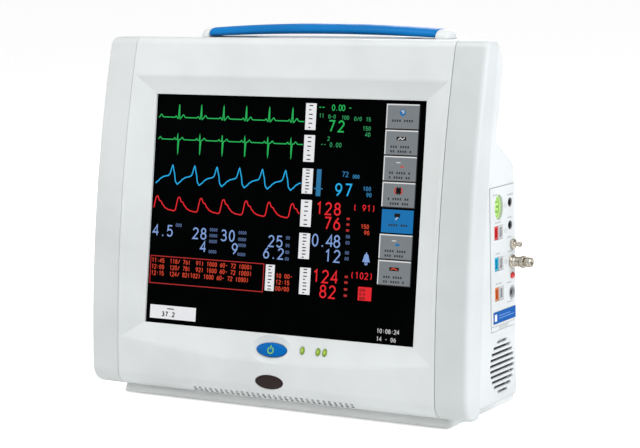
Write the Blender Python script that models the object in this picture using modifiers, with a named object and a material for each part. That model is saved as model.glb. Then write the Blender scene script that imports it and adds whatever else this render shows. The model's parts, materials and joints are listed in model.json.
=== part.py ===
"""Bedside patient monitor with a tilted 15 inch display, a plug-in parameter module in its right flank,
a carrying handle on top and a low plinth. Dimensions are millimetres; every mesh is scaled to metres
as it is placed. X is to the viewer's right, Y to the back, Z up. The working frame sits at the centre
of the display; SHIFT carries it to the centre of the underside mounting plate."""

import math

import bmesh
import bpy
from mathutils import Matrix, Vector

for thing in list(bpy.data.objects):
    bpy.data.objects.remove(thing, do_unlink=True)

parts = bpy.data.collections.new("patient_monitor")
bpy.context.scene.collection.children.link(parts)
work = bpy.data.collections.new("working_shapes")
bpy.context.scene.collection.children.link(work)

# ---------------------------------------------------------------- driving dimensions, mm
PLINTH_BOTTOM = -190.8
MOUNT_Y = 59.0                           # centre of the mounting plate
SHIFT = Vector((0.0, -MOUNT_Y, -PLINTH_BOTTOM))
TILT = math.radians(8.7)                 # the display leans back

# bowed lines in side view: y = a + b*(z/100) + c*(z/100)^2
FRONT_BOW = (-12.8, 15.8, 3.94)          # front face
SEAM_BOW = (14.05, 14.64, 2.75)          # flank seam between front and rear housings
FRONT_BOTTOM = -181.0
BEZEL_HALF = 182.3                       # half width of the centre bezel
SKIN = 3.0                               # wall of both housings
GAP = 0.3                                # joint between neighbouring parts

OPEN_HALF_X, OPEN_HALF_Z = 155.1, 115.5  # half size of the display opening, along the display

REAR_TOP, REAR_BOTTOM = 167.6, -172.5
BULGE_BACK = 134.0
HANDLE_Y = 93.0
HANDLE_SCREW_X = 140.0
HANDLE_HOLE_R = 2.2

SIDES = (("left", -1), ("right", 1))     # name, sign of x
# name, x, z of the four rear case screws and the standoffs they run into
STANDOFFS = [(f"{level}_{side}", x_sign * 124.0, z_sign * 105.0)
             for side, x_sign in SIDES for level, z_sign in (("upper", 1), ("lower", -1))]
CASE_HOLE_R = 2.3

MODULE_Y = (24.0, 75.1)
MODULE_Z = (-98.0, 33.0)
SPEAKER = Vector((0.0, 47.5, -138.3))    # a point on its axis, which runs along X
FAN = Vector((-70.0, 120.5, -120.0))     # centre; its axis runs along Y

# ---------------------------------------------------------------- materials
FINISHES = {                             # base colour, roughness, metallic
    "case_white": ((0.83, 0.84, 0.83), 0.42, 0.0),
    "cheek_grey": ((0.79, 0.80, 0.78), 0.42, 0.0),
    "rear_white": ((0.85, 0.87, 0.88), 0.45, 0.0),
    "handle_blue": ((0.03, 0.22, 0.62), 0.38, 0.0),
    "button_blue": ((0.01, 0.17, 0.55), 0.30, 0.0),
    "glass_black": ((0.01, 0.012, 0.014), 0.12, 0.0),
    "lens_green": ((0.25, 0.55, 0.05), 0.20, 0.0),
    "window_brown": ((0.05, 0.03, 0.03), 0.15, 0.0),
    "rubber_black": ((0.02, 0.02, 0.02), 0.80, 0.0),
    "steel": ((0.60, 0.60, 0.60), 0.35, 1.0),
    "nickel": ((0.55, 0.50, 0.43), 0.28, 1.0),
    "board_green": ((0.02, 0.18, 0.07), 0.55, 0.0),
    "socket_green": ((0.45, 0.75, 0.25), 0.40, 0.0),
    "socket_red": ((0.75, 0.05, 0.06), 0.40, 0.0),
    "socket_cyan": ((0.02, 0.45, 0.75), 0.40, 0.0),
    "socket_orange": ((0.75, 0.25, 0.05), 0.40, 0.0),
    "label_blue": ((0.01, 0.15, 0.60), 0.35, 0.0),
    "black_plastic": ((0.02, 0.02, 0.02), 0.40, 0.0),
    "cone_paper": ((0.05, 0.05, 0.05), 0.85, 0.0),
    "cable_grey": ((0.45, 0.46, 0.48), 0.60, 0.0),
}


def material(name):
    found = bpy.data.materials.get(name)
    if found:
        return found
    colour, roughness, metallic = FINISHES[name]
    made = bpy.data.materials.new(name)
    made.use_nodes = True
    shader = made.node_tree.nodes["Principled BSDF"]
    shader.inputs["Base Color"].default_value = (*colour, 1.0)
    shader.inputs["Roughness"].default_value = roughness
    shader.inputs["Metallic"].default_value = metallic
    return made


# ---------------------------------------------------------------- ranges and working objects
def span(centre, half):
    return centre - half, centre + half


def shrink(limits, by):
    return limits[0] + by, limits[1] - by


def grown(radii, by):
    return radii[0] + by, radii[1] + by


def half_chord(radius, offset):
    return math.sqrt(radius ** 2 - offset ** 2)


def work_object(data):
    obj = bpy.data.objects.new("shape", data)
    work.objects.link(obj)
    return obj


def finish(shape):
    """Turns a bmesh into a working object with its normals outwards."""
    bmesh.ops.recalc_face_normals(shape, faces=shape.faces)
    mesh = bpy.data.meshes.new("shape")
    shape.to_mesh(mesh)
    shape.free()
    return work_object(mesh)


def evaluated_mesh(obj):
    bpy.context.view_layer.update()
    return bpy.data.meshes.new_from_object(
        obj.evaluated_get(bpy.context.evaluated_depsgraph_get()))


def bake(obj):
    """Applies the object's modifiers."""
    mesh = evaluated_mesh(obj)
    obj.modifiers.clear()
    obj.data = mesh
    return obj


def baked_shape(obj):
    """The evaluated object as a bmesh; the object itself goes."""
    mesh = evaluated_mesh(obj)
    bpy.data.objects.remove(obj)
    shape = bmesh.new()
    shape.from_mesh(mesh)
    return shape


# ---------------------------------------------------------------- basic solids
AXES = {
    "x": Matrix(((0, 0, 1, 0), (1, 0, 0, 0), (0, 1, 0, 0), (0, 0, 0, 1))),   # local x, y, z -> y, z, x
    "y": Matrix(((1, 0, 0, 0), (0, 0, 1, 0), (0, -1, 0, 0), (0, 0, 0, 1))),  # local z -> y
    "z": Matrix.Identity(4),
}


def box(x_range, y_range, z_range, frame=None):
    ranges = (x_range, y_range, z_range)
    shape = bmesh.new()
    bmesh.ops.create_cube(shape, size=1.0)
    size = Matrix.Diagonal((*(high - low for low, high in ranges), 1.0))
    move = Matrix.Translation([(low + high) / 2 for low, high in ranges])
    shape.transform(move @ size)
    obj = finish(shape)
    if frame is not None:
        obj.data.transform(frame)
    return obj


def cone(matrix, bottom_radius, top_radius, length, segments):
    shape = bmesh.new()
    bmesh.ops.create_cone(shape, cap_ends=True, segments=segments, radius1=bottom_radius,
                          radius2=top_radius, depth=length)
    shape.transform(matrix)
    return finish(shape)


def rod(axis, centre, radius, length, segments, stretch=(1.0, 1.0)):
    """A cylinder along an axis; centre is the middle of its length."""
    matrix = Matrix.Translation(centre) @ AXES[axis] @ Matrix.Diagonal((*stretch, 1, 1))
    return cone(matrix, radius, radius, length, segments)


def oval(frame, centre, radii, length, segments, top=1.0):
    """An elliptic cylinder along the frame's z; top scales its far end."""
    matrix = frame @ Matrix.Translation(centre) @ Matrix.Diagonal((*radii, 1, 1))
    return cone(matrix, 1.0, top, length, segments)


def ball(frame, centre, radii, around, rings):
    """An ellipsoid with its poles on the frame's z."""
    shape = bmesh.new()
    bmesh.ops.create_uvsphere(shape, u_segments=around, v_segments=rings, radius=1.0)
    shape.transform(frame @ Matrix.Translation(centre) @ Matrix.Diagonal((*radii, 1)))
    return finish(shape)


def outline(points, x_low, x_high):
    """A flat (y, z) outline as a filled 2D curve, extruded along X and made a closed mesh."""
    curve = bpy.data.curves.new("outline", "CURVE")
    curve.dimensions = "2D"
    curve.fill_mode = "BOTH"
    curve.extrude = (x_high - x_low) / 2
    spline = curve.splines.new("POLY")
    spline.points.add(len(points) - 1)
    for point, (y, z) in zip(spline.points, points):
        point.co = (y, z, 0.0, 1.0)
    spline.use_cyclic_u = True
    shape = baked_shape(work_object(curve))
    bmesh.ops.remove_doubles(shape, verts=shape.verts, dist=0.001)
    bmesh.ops.dissolve_limit(shape, angle_limit=0.0005, verts=shape.verts, edges=shape.edges)
    shape.transform(Matrix.Translation(((x_low + x_high) / 2, 0, 0)) @ AXES["x"])
    return finish(shape)


def loft(loops):
    """A closed solid through unlike sections that have the same number of points."""
    shape = bmesh.new()
    rows = [[shape.verts.new(point) for point in loop] for loop in loops]
    count = len(rows[0])
    for low, high in zip(rows, rows[1:]):
        for i in range(count):
            after = (i + 1) % count
            shape.faces.new((low[i], low[after], high[after], high[i]))
    shape.faces.new(rows[0])
    shape.faces.new(rows[-1])
    return finish(shape)


def turned(profile, axis, centre, steps):
    """A turned part: a closed profile of (radius, along) spun by a Screw modifier."""
    shape = bmesh.new()
    verts = [shape.verts.new((radius, 0.0, along)) for radius, along in profile]
    for first, second in zip(verts, verts[1:]):
        shape.edges.new((first, second))
    shape.edges.new((verts[-1], verts[0]))
    mesh = bpy.data.meshes.new("turned")
    shape.to_mesh(mesh)
    shape.free()
    obj = work_object(mesh)
    screw = obj.modifiers.new("Screw", "SCREW")
    screw.axis = "Z"
    screw.steps = screw.render_steps = steps
    screw.use_merge_vertices = True
    screw.merge_threshold = 0.0001
    shape = baked_shape(obj)
    bmesh.ops.remove_doubles(shape, verts=shape.verts, dist=0.0005)
    shape.transform(Matrix.Translation(centre) @ AXES[axis])
    return finish(shape)


# ---------------------------------------------------------------- working on solids
def boolean(obj, others, operation):
    for other in others:
        modifier = obj.modifiers.new("Boolean", "BOOLEAN")
        modifier.operation = operation
        modifier.object = other
        modifier.solver = "EXACT"
        bake(obj)
        bpy.data.objects.remove(other)
    return obj


def cut(obj, *others):
    return boolean(obj, others, "DIFFERENCE")


def join(obj, *others):
    return boolean(obj, others, "UNION")


def merged(objs):
    """Separate cutters that don't touch, as one mesh."""
    shape = bmesh.new()
    for obj in objs:
        shape.from_mesh(obj.data)
        bpy.data.objects.remove(obj)
    return finish(shape)


def bevel(obj, width, segments, angle=35.0):
    modifier = obj.modifiers.new("Bevel", "BEVEL")
    modifier.width = width
    modifier.segments = segments
    modifier.limit_method = "ANGLE"
    modifier.angle_limit = math.radians(angle)
    modifier.use_clamp_overlap = True
    return bake(obj)


def mirrored(obj):
    """A copy on the other side of x = 0."""
    mesh = obj.data.copy()
    mesh.transform(Matrix.Diagonal((-1, 1, 1, 1)))
    mesh.flip_normals()
    return work_object(mesh)


# ---------------------------------------------------------------- placing finished parts
SHARP_ANGLE = math.radians(32)


def to_metres(point):
    return (Vector(point) + SHIFT) * 0.001


def world_place(obj):
    return obj.location + world_place(obj.parent) if obj.parent else obj.location


def locate(obj, point, parent):
    """Puts the origin at a point in metres, under the parent if there is one."""
    obj.parent = parent
    obj.location = point - world_place(parent) if parent else point


def place(obj, name, look, origin=None, parent=None):
    """Names the part, scales it to metres, sets its origin (by default mid bounds) and files it."""
    obj.name = name
    mesh = obj.data
    mesh.name = name
    mesh.transform(Matrix.Diagonal((0.001, 0.001, 0.001, 1)) @ Matrix.Translation(SHIFT))
    if origin is None:
        low = Vector([min(vert.co[i] for vert in mesh.vertices) for i in range(3)])
        high = Vector([max(vert.co[i] for vert in mesh.vertices) for i in range(3)])
        point = (low + high) / 2
    else:
        point = to_metres(origin)
    mesh.transform(Matrix.Translation(-point))
    locate(obj, point, parent)
    mesh.materials.clear()
    mesh.materials.append(material(look))
    mesh.shade_smooth()
    mesh.set_sharp_from_angle(angle=SHARP_ANGLE)
    work.objects.unlink(obj)
    parts.objects.link(obj)


def empty(name, origin, parent=None):
    made = bpy.data.objects.new(name, None)
    made.empty_display_size = 0.02
    locate(made, to_metres(origin), parent)
    parts.objects.link(made)
    return made


# ---------------------------------------------------------------- rules for the curved front
LOW_CORNER_R, TOP_CORNER_R = 18.0, 9.0
FACE_TOP = 163.4                         # height where the bowed face meets the top corner
FACE_STEPS = 10
CHAMFER_HALF_X, CHAMFER_TOP = 179.0, 133.0
CHAMFER_SIDE_Z, CHAMFER_SAG = -129.0, 12.3   # lower edge at the sides, and its drop at the middle


def bow(curve, z):
    start, linear, square = curve
    return start + linear * z / 100 + square * (z / 100) ** 2


def slope(curve, z):
    return (curve[1] + 2 * curve[2] * z / 100) / 100


def lean(depth, height):
    """(y, z) of a point so far behind the display plane and so far up it."""
    return (depth * math.cos(TILT) + height * math.sin(TILT),
            height * math.cos(TILT) - depth * math.sin(TILT))


def arc(y, z, radius, start, end, steps):
    angles = [start + (end - start) * i / steps for i in range(steps + 1)]
    return [(y + radius * math.cos(angle), z + radius * math.sin(angle)) for angle in angles]


def front_outline(inset=0.0, back=None):
    """Side profile of the front housing as (y, z). inset moves the outside inwards; back sets the
    rear edge that far behind the seam, in place of the finished edge with its small corners."""
    low_z = FRONT_BOTTOM + LOW_CORNER_R
    low_y = bow(FRONT_BOW, low_z)
    face_angle = math.atan(slope(FRONT_BOW, FACE_TOP))
    top_y = bow(FRONT_BOW, FACE_TOP) + TOP_CORNER_R * math.cos(face_angle)
    top_z = FACE_TOP - TOP_CORNER_R * math.sin(face_angle)
    points = arc(low_y + LOW_CORNER_R, low_z, LOW_CORNER_R - inset, math.pi * 1.5, math.pi, 5)
    for i in range(1, FACE_STEPS):
        z = low_z + (FACE_TOP - low_z) * i / FACE_STEPS
        points.append((bow(FRONT_BOW, z) + inset, z))
    points += arc(top_y, top_z, TOP_CORNER_R - inset, math.pi - face_angle, math.pi / 2, 4)
    top, bottom = top_z + TOP_CORNER_R - inset, FRONT_BOTTOM + inset
    back_steps = FACE_STEPS // 2
    if back is None:
        points += [(bow(SEAM_BOW, top) - 2.2, top), (bow(SEAM_BOW, top - 2) - 0.2, top - 2)]
        for i in range(1, back_steps):
            z = top - 2 + (bottom + 4 - top) * i / back_steps
            points.append((bow(SEAM_BOW, z) - 0.2, z))
        points += [(bow(SEAM_BOW, bottom + 2) - 0.2, bottom + 2),
                   (bow(SEAM_BOW, bottom) - 2.0, bottom)]
    else:
        for i in range(back_steps + 1):
            z = top + (bottom - top) * i / back_steps
            points.append((bow(SEAM_BOW, z) + back, z))
    return points


def around_opening(point):
    """Calls point(across, up), both -1 to 1, anticlockwise seen from the front, from the lower left."""
    bottom, side, top = 10, 6, 2         # steps along each edge
    return ([point(-1 + 2 * i / bottom, -1) for i in range(bottom)]
            + [point(1, -1 + 2 * i / side) for i in range(side)]
            + [point(1 - 2 * i / top, 1) for i in range(top)]
            + [point(-1, 1 - 2 * i / side) for i in range(side)])


def opening_edge(grow=0.0, depth=0.0):
    """The display opening at a depth behind the display plane."""
    def point(across, up):
        return Vector((across * (OPEN_HALF_X + grow), *lean(depth, up * (OPEN_HALF_Z + grow))))
    return around_opening(point)


def chamfer_edge(grow=0.0):
    """The outer edge of the chamfer round the opening, on the bowed front face."""
    def point(across, up):
        low = CHAMFER_SIDE_Z - CHAMFER_SAG * (1 - across * across) - grow
        high = CHAMFER_TOP + grow
        z = low + (high - low) * (up + 1) / 2
        return Vector((across * (CHAMFER_HALF_X + grow), bow(FRONT_BOW, z), z))
    return around_opening(point)


def funnel(*loops):
    """A loft through loops round the opening that runs on forwards to a flat end clear of the front."""
    beyond = [inner + (outer - inner) * 1.3 for inner, outer in zip(loops[-2], loops[-1])]
    flat = [Vector((point.x, -120.0, point.z)) for point in beyond]
    return loft([*loops, beyond, flat])


# ---------------------------------------------------------------- frames on the front
DISPLAY = Matrix.Rotation(-TILT, 4, "X")

# the sloping panel under the display, where the power button sits
PANEL_TOP_Y, PANEL_TOP_Z = lean(0.0, -OPEN_HALF_Z)
PANEL_LOW_Z = CHAMFER_SIDE_Z - CHAMFER_SAG
PANEL_RUN_Y = bow(FRONT_BOW, PANEL_LOW_Z) - PANEL_TOP_Y
PANEL_RUN_Z = PANEL_LOW_Z - PANEL_TOP_Z
PANEL_ANGLE = math.atan2(-PANEL_RUN_Z, -PANEL_RUN_Y)


def panel_frame(x, z):
    """Local z points out of the sloping panel, local y up it."""
    y = PANEL_TOP_Y + PANEL_RUN_Y * (z - PANEL_TOP_Z) / PANEL_RUN_Z
    return Matrix.Translation((x, y, z)) @ Matrix.Rotation(PANEL_ANGLE, 4, "X")


def front_frame(x, z):
    """Local z points out of the bowed front face."""
    angle = math.pi / 2 - math.atan(slope(FRONT_BOW, z))
    return Matrix.Translation((x, bow(FRONT_BOW, z), z)) @ Matrix.Rotation(angle, 4, "X")


BUTTON = panel_frame(0.0, -128.7)
BUTTON_RADII = (17.4, 6.85)
LED_Z, LED_RADII = -126.8, (2.5, 3.9)
LEDS = [(name, panel_frame(x, LED_Z)) for name, x in
        (("led_lens_mains", 35.5), ("led_lens_battery_a", 53.3), ("led_lens_battery_b", 60.8))]
WINDOW = front_frame(0.0, -160.0)
WINDOW_RADII = (16.0, 6.8)

# ---------------------------------------------------------------- front bezel and cheeks
BEZEL_SIDE_WALL = 2.7
CAVITY_BACK = 6.0                        # cavities run this far behind the seam
VENT_START, VENT_PITCH, VENT_COUNT, VENT_HALF = -90.9, 6.27, 30, 1.3
CHEEK_IN, CHEEK_OUT = 182.7, 217.0
CHEEK_SECTIONS = ((CHEEK_IN, 0.0), (CHEEK_OUT - 2.4, 0.0), (CHEEK_OUT - 0.7, 0.7),
                  (CHEEK_OUT, 2.4))      # x, inset of the outline


def front_bezel():
    bezel = outline(front_outline(), -BEZEL_HALF, BEZEL_HALF)
    cavity_half = BEZEL_HALF - BEZEL_SIDE_WALL
    cavity = outline(front_outline(SKIN, CAVITY_BACK), -cavity_half, cavity_half)
    # material left in the cavity: the wall behind the chamfer and a block behind the button
    cut(cavity, funnel(opening_edge(2.5, 2.0), chamfer_edge(3.0)))
    cut(cavity, box(span(0, 28), (-14, 10), (-7.5, 4.0), BUTTON))
    cut(bezel, cavity)
    cut(bezel, funnel(opening_edge(depth=9.0), opening_edge(), chamfer_edge()))
    cut(bezel, ball(BUTTON, (0, 0, 2.4), (26, 15.2, 5.2), 20, 8))
    cut(bezel, oval(BUTTON, (0, 0, 0), grown(BUTTON_RADII, 0.35), 30, 24))
    holes = [oval(frame, (0, 0, 0), grown(LED_RADII, GAP), 12, 12) for _, frame in LEDS]
    holes.append(oval(WINDOW, (0, 0, 0), grown(WINDOW_RADII, GAP), 14, 20))
    cut(bezel, merged(holes))
    cut(bezel, merged([box(span(VENT_START + VENT_PITCH * i, VENT_HALF), (-32, -13),
                           (-178.2, -171.5)) for i in range(VENT_COUNT)]))
    place(bezel, "front_bezel", "case_white")


def cheeks():
    cheek = loft([[Vector((x, y, z)) for y, z in front_outline(inset)]
                  for x, inset in CHEEK_SECTIONS])
    cut(cheek, outline(front_outline(SKIN + 2.0, CAVITY_BACK), CHEEK_IN + 2.6, CHEEK_OUT - 3.0))
    left = mirrored(cheek)
    place(cheek, "right_cheek", "cheek_grey")
    place(left, "left_cheek", "cheek_grey")


# ---------------------------------------------------------------- display stack
STANDOFF_R, STANDOFF_BACK = 5.0, 130.6


def slab(half_width, depths, half_height):
    """A plate parallel to the display plane and centred on it; depths run backwards from it."""
    return box(span(0, half_width), depths, span(0, half_height), DISPLAY)


def display_stack():
    place(slab(158, (3.0, 6.0), 118.5), "touch_glass", "glass_black")
    gasket = slab(157.4, (2.3, 2.7), 117.8)
    cut(gasket, slab(155.6, (0, 5), 116.0))
    place(gasket, "glass_gasket", "rubber_black")
    lcd = bevel(slab(159, (6.5, 15.0), 121), 1.0, 1)
    join(lcd, box((-120, 60), (14.0, 17.8), (40, 110), DISPLAY))
    place(lcd, "lcd_panel", "steel")


def lcd_chassis():
    chassis = slab(176, (18.5, 20.0), 124)
    cut(chassis, box((-60, 30), (10, 30), (50, 95), DISPLAY))
    for _, x, z in STANDOFFS:
        root = 19.9 + 0.153 * z          # inside the sloping plate
        join(chassis, rod("y", (x, (root + STANDOFF_BACK) / 2, z), STANDOFF_R,
                          STANDOFF_BACK - root, 16))
        cut(chassis, rod("y", (x, 124, z), CASE_HOLE_R, 20, 12))
    place(chassis, "lcd_chassis", "steel")


# ---------------------------------------------------------------- front controls
def power_button():
    axis = empty("power_button_axis", BUTTON.translation)
    width, height = BUTTON_RADII
    button = oval(BUTTON, (0, 0, -4.55), BUTTON_RADII, 7.3, 24)
    join(button, ball(BUTTON, (0, 0, -1.2), (width * 0.995, height * 0.995, 1.9), 24, 8))
    join(button, oval(BUTTON, (0, 0, -8.75), (20.6, 6.4), 1.7, 20))     # flange inside
    place(button, "power_button", "button_blue", BUTTON.translation, axis)
    place(box((-34, 74), (-13.5, 2.0), (-16.0, -14.4), BUTTON), "switch_board", "board_green")
    place(oval(BUTTON, (0, -2.0, -12.85), (4.5, 3.2), 2.5, 16, top=0.6),
          "button_dome", "rubber_black")


def lenses():
    width, height = LED_RADII
    for name, frame in LEDS:
        lens = oval(frame, (0, 0, -1.4), LED_RADII, 2.8, 12)
        join(lens, ball(frame, (0, 0, -0.1), (width * 0.99, height * 0.99, 1.1), 12, 6))
        place(lens, name, "lens_green")
    place(oval(WINDOW, (0, 0, -1.3), WINDOW_RADII, 3.0, 20), "ir_window", "window_brown")


# ---------------------------------------------------------------- rear housing
REAR_HALF = 216.0
REAR_BACK = 78.5
FLANK_STEPS = 12
NECK_Y, NECK_Z = 40.5, 81.0              # where the slim upper back meets the shoulder
# top to bottom behind the flank: y, z, share of the inset taken off y, and off z
FLANK_BACK = (
    (48.0, REAR_TOP, 0.3, 1.0),
    (52.8, REAR_TOP - 2.6, 0.6, 1.0),
    (56.0, REAR_TOP - 8.0, 1.0, 1.0),
    (NECK_Y + 15.65, NECK_Z + 62.5, 1.0, 0.4),
    (NECK_Y + 7.2, NECK_Z + 22.0, 1.0, 0.3),
    (NECK_Y + 0.8, NECK_Z + 5.0, 1.0, 0.5),
    (NECK_Y + 1.2, NECK_Z - 3.5, 1.0, 1.0),
    (NECK_Y + 4.0, NECK_Z - 7.5, 1.0, 1.0),
    (REAR_BACK - 4.6, 53.6, 1.0, 1.0),
    (REAR_BACK - 1.2, 49.6, 1.0, 1.0),
    (REAR_BACK, 44.0, 1.0, 1.0),
    (REAR_BACK, REAR_BOTTOM + 3.0, 1.0, -1.0),
    (REAR_BACK - 3.0, REAR_BOTTOM, 1.0, -1.0),
)
BULGE_HALF_FRONT, BULGE_HALF_BACK = 165.0, 150.0
BULGE_ROUNDING = 11.0
SCOOP = Matrix.Translation((0, HANDLE_Y, REAR_TOP + 3.0))    # hand hollow under the handle
SCOOP_RADII = Vector((110, 27, 26))
SCOOP_WALL = Vector((4.5, 4.5, 4.5))
FLANK_CUT_X = (208, 222)                 # x range of cutters through the right flank's wall
BACK_CUT_Y = (126, 140)                  # y range of cutters through the back wall
GRILLE_R, GRILLE_PITCH, GRILLE_SLOT_HALF = 26.7, 5.1, 1.05      # speaker grille
FAN_GRILLE_R, FAN_GRILLE_PITCH = 27.0, 7.0
CONNECTORS_X, CONNECTORS_Z = (10.0, 110.0), (-150.0, -113.0)     # opening for the connector plate


def rear_outline(inset=0.0, front=0.2):
    """Side profile of the flank as (y, z): shallow behind the display, deep below the shoulder.
    front is the distance of its front edge behind the seam."""
    top, low = REAR_TOP - inset, REAR_BOTTOM + inset
    points = []
    for i in range(FLANK_STEPS + 1):
        z = low + (top - 1.5 - low) * i / FLANK_STEPS
        points.append((bow(SEAM_BOW, z) + front, z))
    points.append((bow(SEAM_BOW, top) + max(front, -1) + 2, top))
    points += [(y - inset * share_y, z - inset * share_z)
               for y, z, share_y, share_z in FLANK_BACK]
    return points


def bulge(inset=0.0):
    """The deep middle of the housing, narrower towards the back; its front is buried in the flank."""
    front_high, front_low = (30.0, -20.0) if inset else (50.0, 0.0)
    back = BULGE_BACK - inset
    shape = bmesh.new()
    bmesh.ops.create_cube(shape, size=2.0)
    for vert in shape.verts:
        at_back, at_top = vert.co.y > 0, vert.co.z > 0
        half = (BULGE_HALF_BACK if at_back else BULGE_HALF_FRONT) - inset
        front = front_high if at_top else front_low
        vert.co = Vector((vert.co.x * half, back if at_back else front,
                          REAR_TOP - inset if at_top else REAR_BOTTOM + inset))
    edges = [edge for edge in shape.edges if max(vert.co.y for vert in edge.verts) > back - 1]
    bmesh.ops.bevel(shape, geom=edges, offset=BULGE_ROUNDING - inset, segments=3, profile=0.5,
                    affect="EDGES", clamp_overlap=True)
    return finish(shape)


def rear_shell():
    rear = bevel(outline(rear_outline(), -REAR_HALF, REAR_HALF), 1.5, 2, 60)
    join(rear, bulge())
    cut(rear, ball(SCOOP, (0, 0, 0), SCOOP_RADII, 20, 12))
    cavity = outline(rear_outline(SKIN, front=-14.0), -REAR_HALF + SKIN, REAR_HALF - SKIN)
    join(cavity, bulge(SKIN))
    cut(cavity, ball(SCOOP, (0, 0, 0), SCOOP_RADII + SCOOP_WALL, 20, 12))
    return cut(rear, cavity)


def speaker_slots():
    slots = []
    for i in range(-5, 6):
        half = half_chord(GRILLE_R, i * GRILLE_PITCH) - 0.4
        slots.append(box(FLANK_CUT_X, span(SPEAKER.y, half),
                         span(SPEAKER.z + i * GRILLE_PITCH, GRILLE_SLOT_HALF)))
    return merged(slots)


def back_slots():
    """The round fan grille and a row of warm-air slots high on the back."""
    slots = []
    for i in range(-3, 4):
        offset = i * FAN_GRILLE_PITCH
        slots.append(box(span(FAN.x + offset, 1.9), BACK_CUT_Y,
                         span(FAN.z, half_chord(FAN_GRILLE_R, offset))))
    slots += [box(span(i * 14.0, 2.0), BACK_CUT_Y, (95, 125)) for i in range(-5, 6)]
    return merged(slots)


def rear_housing():
    rear = rear_shell()
    # the opening takes in the module's faceplate and the latch below it
    cut(rear, box((205, 222), shrink(MODULE_Y, -0.4), (MODULE_Z[0] - 5.4, MODULE_Z[1] + 0.4)))
    cut(rear, speaker_slots())
    cut(rear, back_slots())
    cut(rear, box(CONNECTORS_X, BACK_CUT_Y, CONNECTORS_Z))
    drills = [rod("y", (x, 132, z), CASE_HOLE_R, 20, 12) for _, x, z in STANDOFFS]
    drills += [rod("z", (sign * HANDLE_SCREW_X, HANDLE_Y, 166), HANDLE_HOLE_R, 20, 12)
               for _, sign in SIDES]
    cut(rear, merged(drills))
    place(rear, "rear_housing", "rear_white")


# (radius, y) profile of the rear case screws
CASE_SCREW = ((2.0, 118.0), (0.0, 118.0), (0.0, 136.4), (3.4, 136.4), (4.0, 135.8), (4.0, 134.3),
              (2.0, 134.3))


def case_screws():
    for name, x, z in STANDOFFS:
        place(turned(CASE_SCREW, "y", (x, 0, z), 8), f"case_screw_{name}", "steel")


# ---------------------------------------------------------------- connector plate at the back
# x range and z range of each hole in the plate
INLET_HOLE = ((16, 46), (-146, -122))
NETWORK_HOLE = ((54, 72), (-144, -129))
VIDEO_HOLE = ((78, 104), (-142, -130))


def connector(hole, front, hollow_front, margin_x, margin_z):
    """A block through a hole of the plate; its hollow keeps these margins inside the hole."""
    x_range, z_range = hole
    block = box(shrink(x_range, 0.4), (front, 132.4), shrink(z_range, 0.4))
    return cut(block, box(shrink(x_range, margin_x), (hollow_front, 140),
                          shrink(z_range, margin_z)))


def connectors():
    plate = box(shrink(CONNECTORS_X, -4), (129.2, 130.7), shrink(CONNECTORS_Z, -4))
    cut(plate, merged([box(x_range, (120, 140), z_range)
                       for x_range, z_range in (INLET_HOLE, NETWORK_HOLE, VIDEO_HOLE)]))
    place(plate, "io_panel", "steel")
    inlet = connector(INLET_HOLE, 108, 118, 3.4, 4)
    for x, z in ((25.0, -134), (31.0, -131), (37.0, -134)):             # pin centres
        join(inlet, box(span(x, 1.0), (116, 129.5), span(z, 2)))
    place(inlet, "power_inlet", "black_plastic")
    place(connector(NETWORK_HOLE, 115, 120, 2.4, 2.4), "network_port", "steel")
    place(connector(VIDEO_HOLE, 118, 128, 3, 2.4), "video_port", "label_blue")


# ---------------------------------------------------------------- boards, power supply, cable
BOARD_FRONT, BOARD_BACK = 88.0, 89.6
# blocks on the back of the main board: x range, z range, height
MAIN_BLOCKS = (((-110, -60), (40, 70), 3.5), ((30, 62), (50, 82), 3.0), ((70, 120), (-60, -20), 9.0),
               ((-120, -80), (-70, -40), 12.0), ((-20, 10), (-60, -40), 4.0))
SINK_LEFT, SINK_Z = -40, (0, 50)
FIN_COUNT, FIN_PITCH, FIN_THICK = 8, 8.0, 2.0
CABLE_STEPS, CABLE_THICK = 12, 0.9


def main_board():
    board = box(span(0, 128), (BOARD_FRONT, BOARD_BACK), (-80, 95))
    for x_range, z_range, height in MAIN_BLOCKS:
        join(board, box(x_range, (89.0, BOARD_BACK + height), z_range))
    place(board, "main_board", "board_green")


def heat_sink():
    sink = box((SINK_LEFT, 20), (90.0, 93.0), SINK_Z)
    for i in range(FIN_COUNT):
        x = SINK_LEFT + i * FIN_PITCH
        join(sink, box((x, x + FIN_THICK), (92.0, 108.0), SINK_Z))
    place(sink, "heat_sink", "steel")


def power_supply():
    supply = box((-205, -90), (28, 72), (-94, 15))
    cut(supply, merged([box((-195 + 9.0 * i, -191 + 9.0 * i), (66, 80), (-70, -10))
                        for i in range(11)]))
    place(supply, "power_supply", "steel")


def display_cable():
    """A flat ribbon sagging from the display to the main board."""
    lower = []
    for i in range(CABLE_STEPS + 1):
        share = i / CABLE_STEPS
        lower.append((32.8 + 54.5 * share, 78.0 - 16.0 * math.sin(math.pi * share)))
    upper = [(y, z + CABLE_THICK) for y, z in reversed(lower)]
    place(outline(lower + upper, -52, -12), "display_cable", "cable_grey")


# ---------------------------------------------------------------- fan
FAN_HALF, FAN_HALF_DEPTH, FAN_BORE_R = 30, 7.5, 28.0
STRUT_COUNT, BLADE_COUNT = 3, 7
ROTOR_Y = 1.2                            # rotor centre behind the fan centre
BLADE_PITCH = math.radians(35)


def fan_turn(angle):
    """A frame at the fan centre, turned about its axis."""
    return Matrix.Translation(FAN) @ Matrix.Rotation(angle, 4, "Y")


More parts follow.
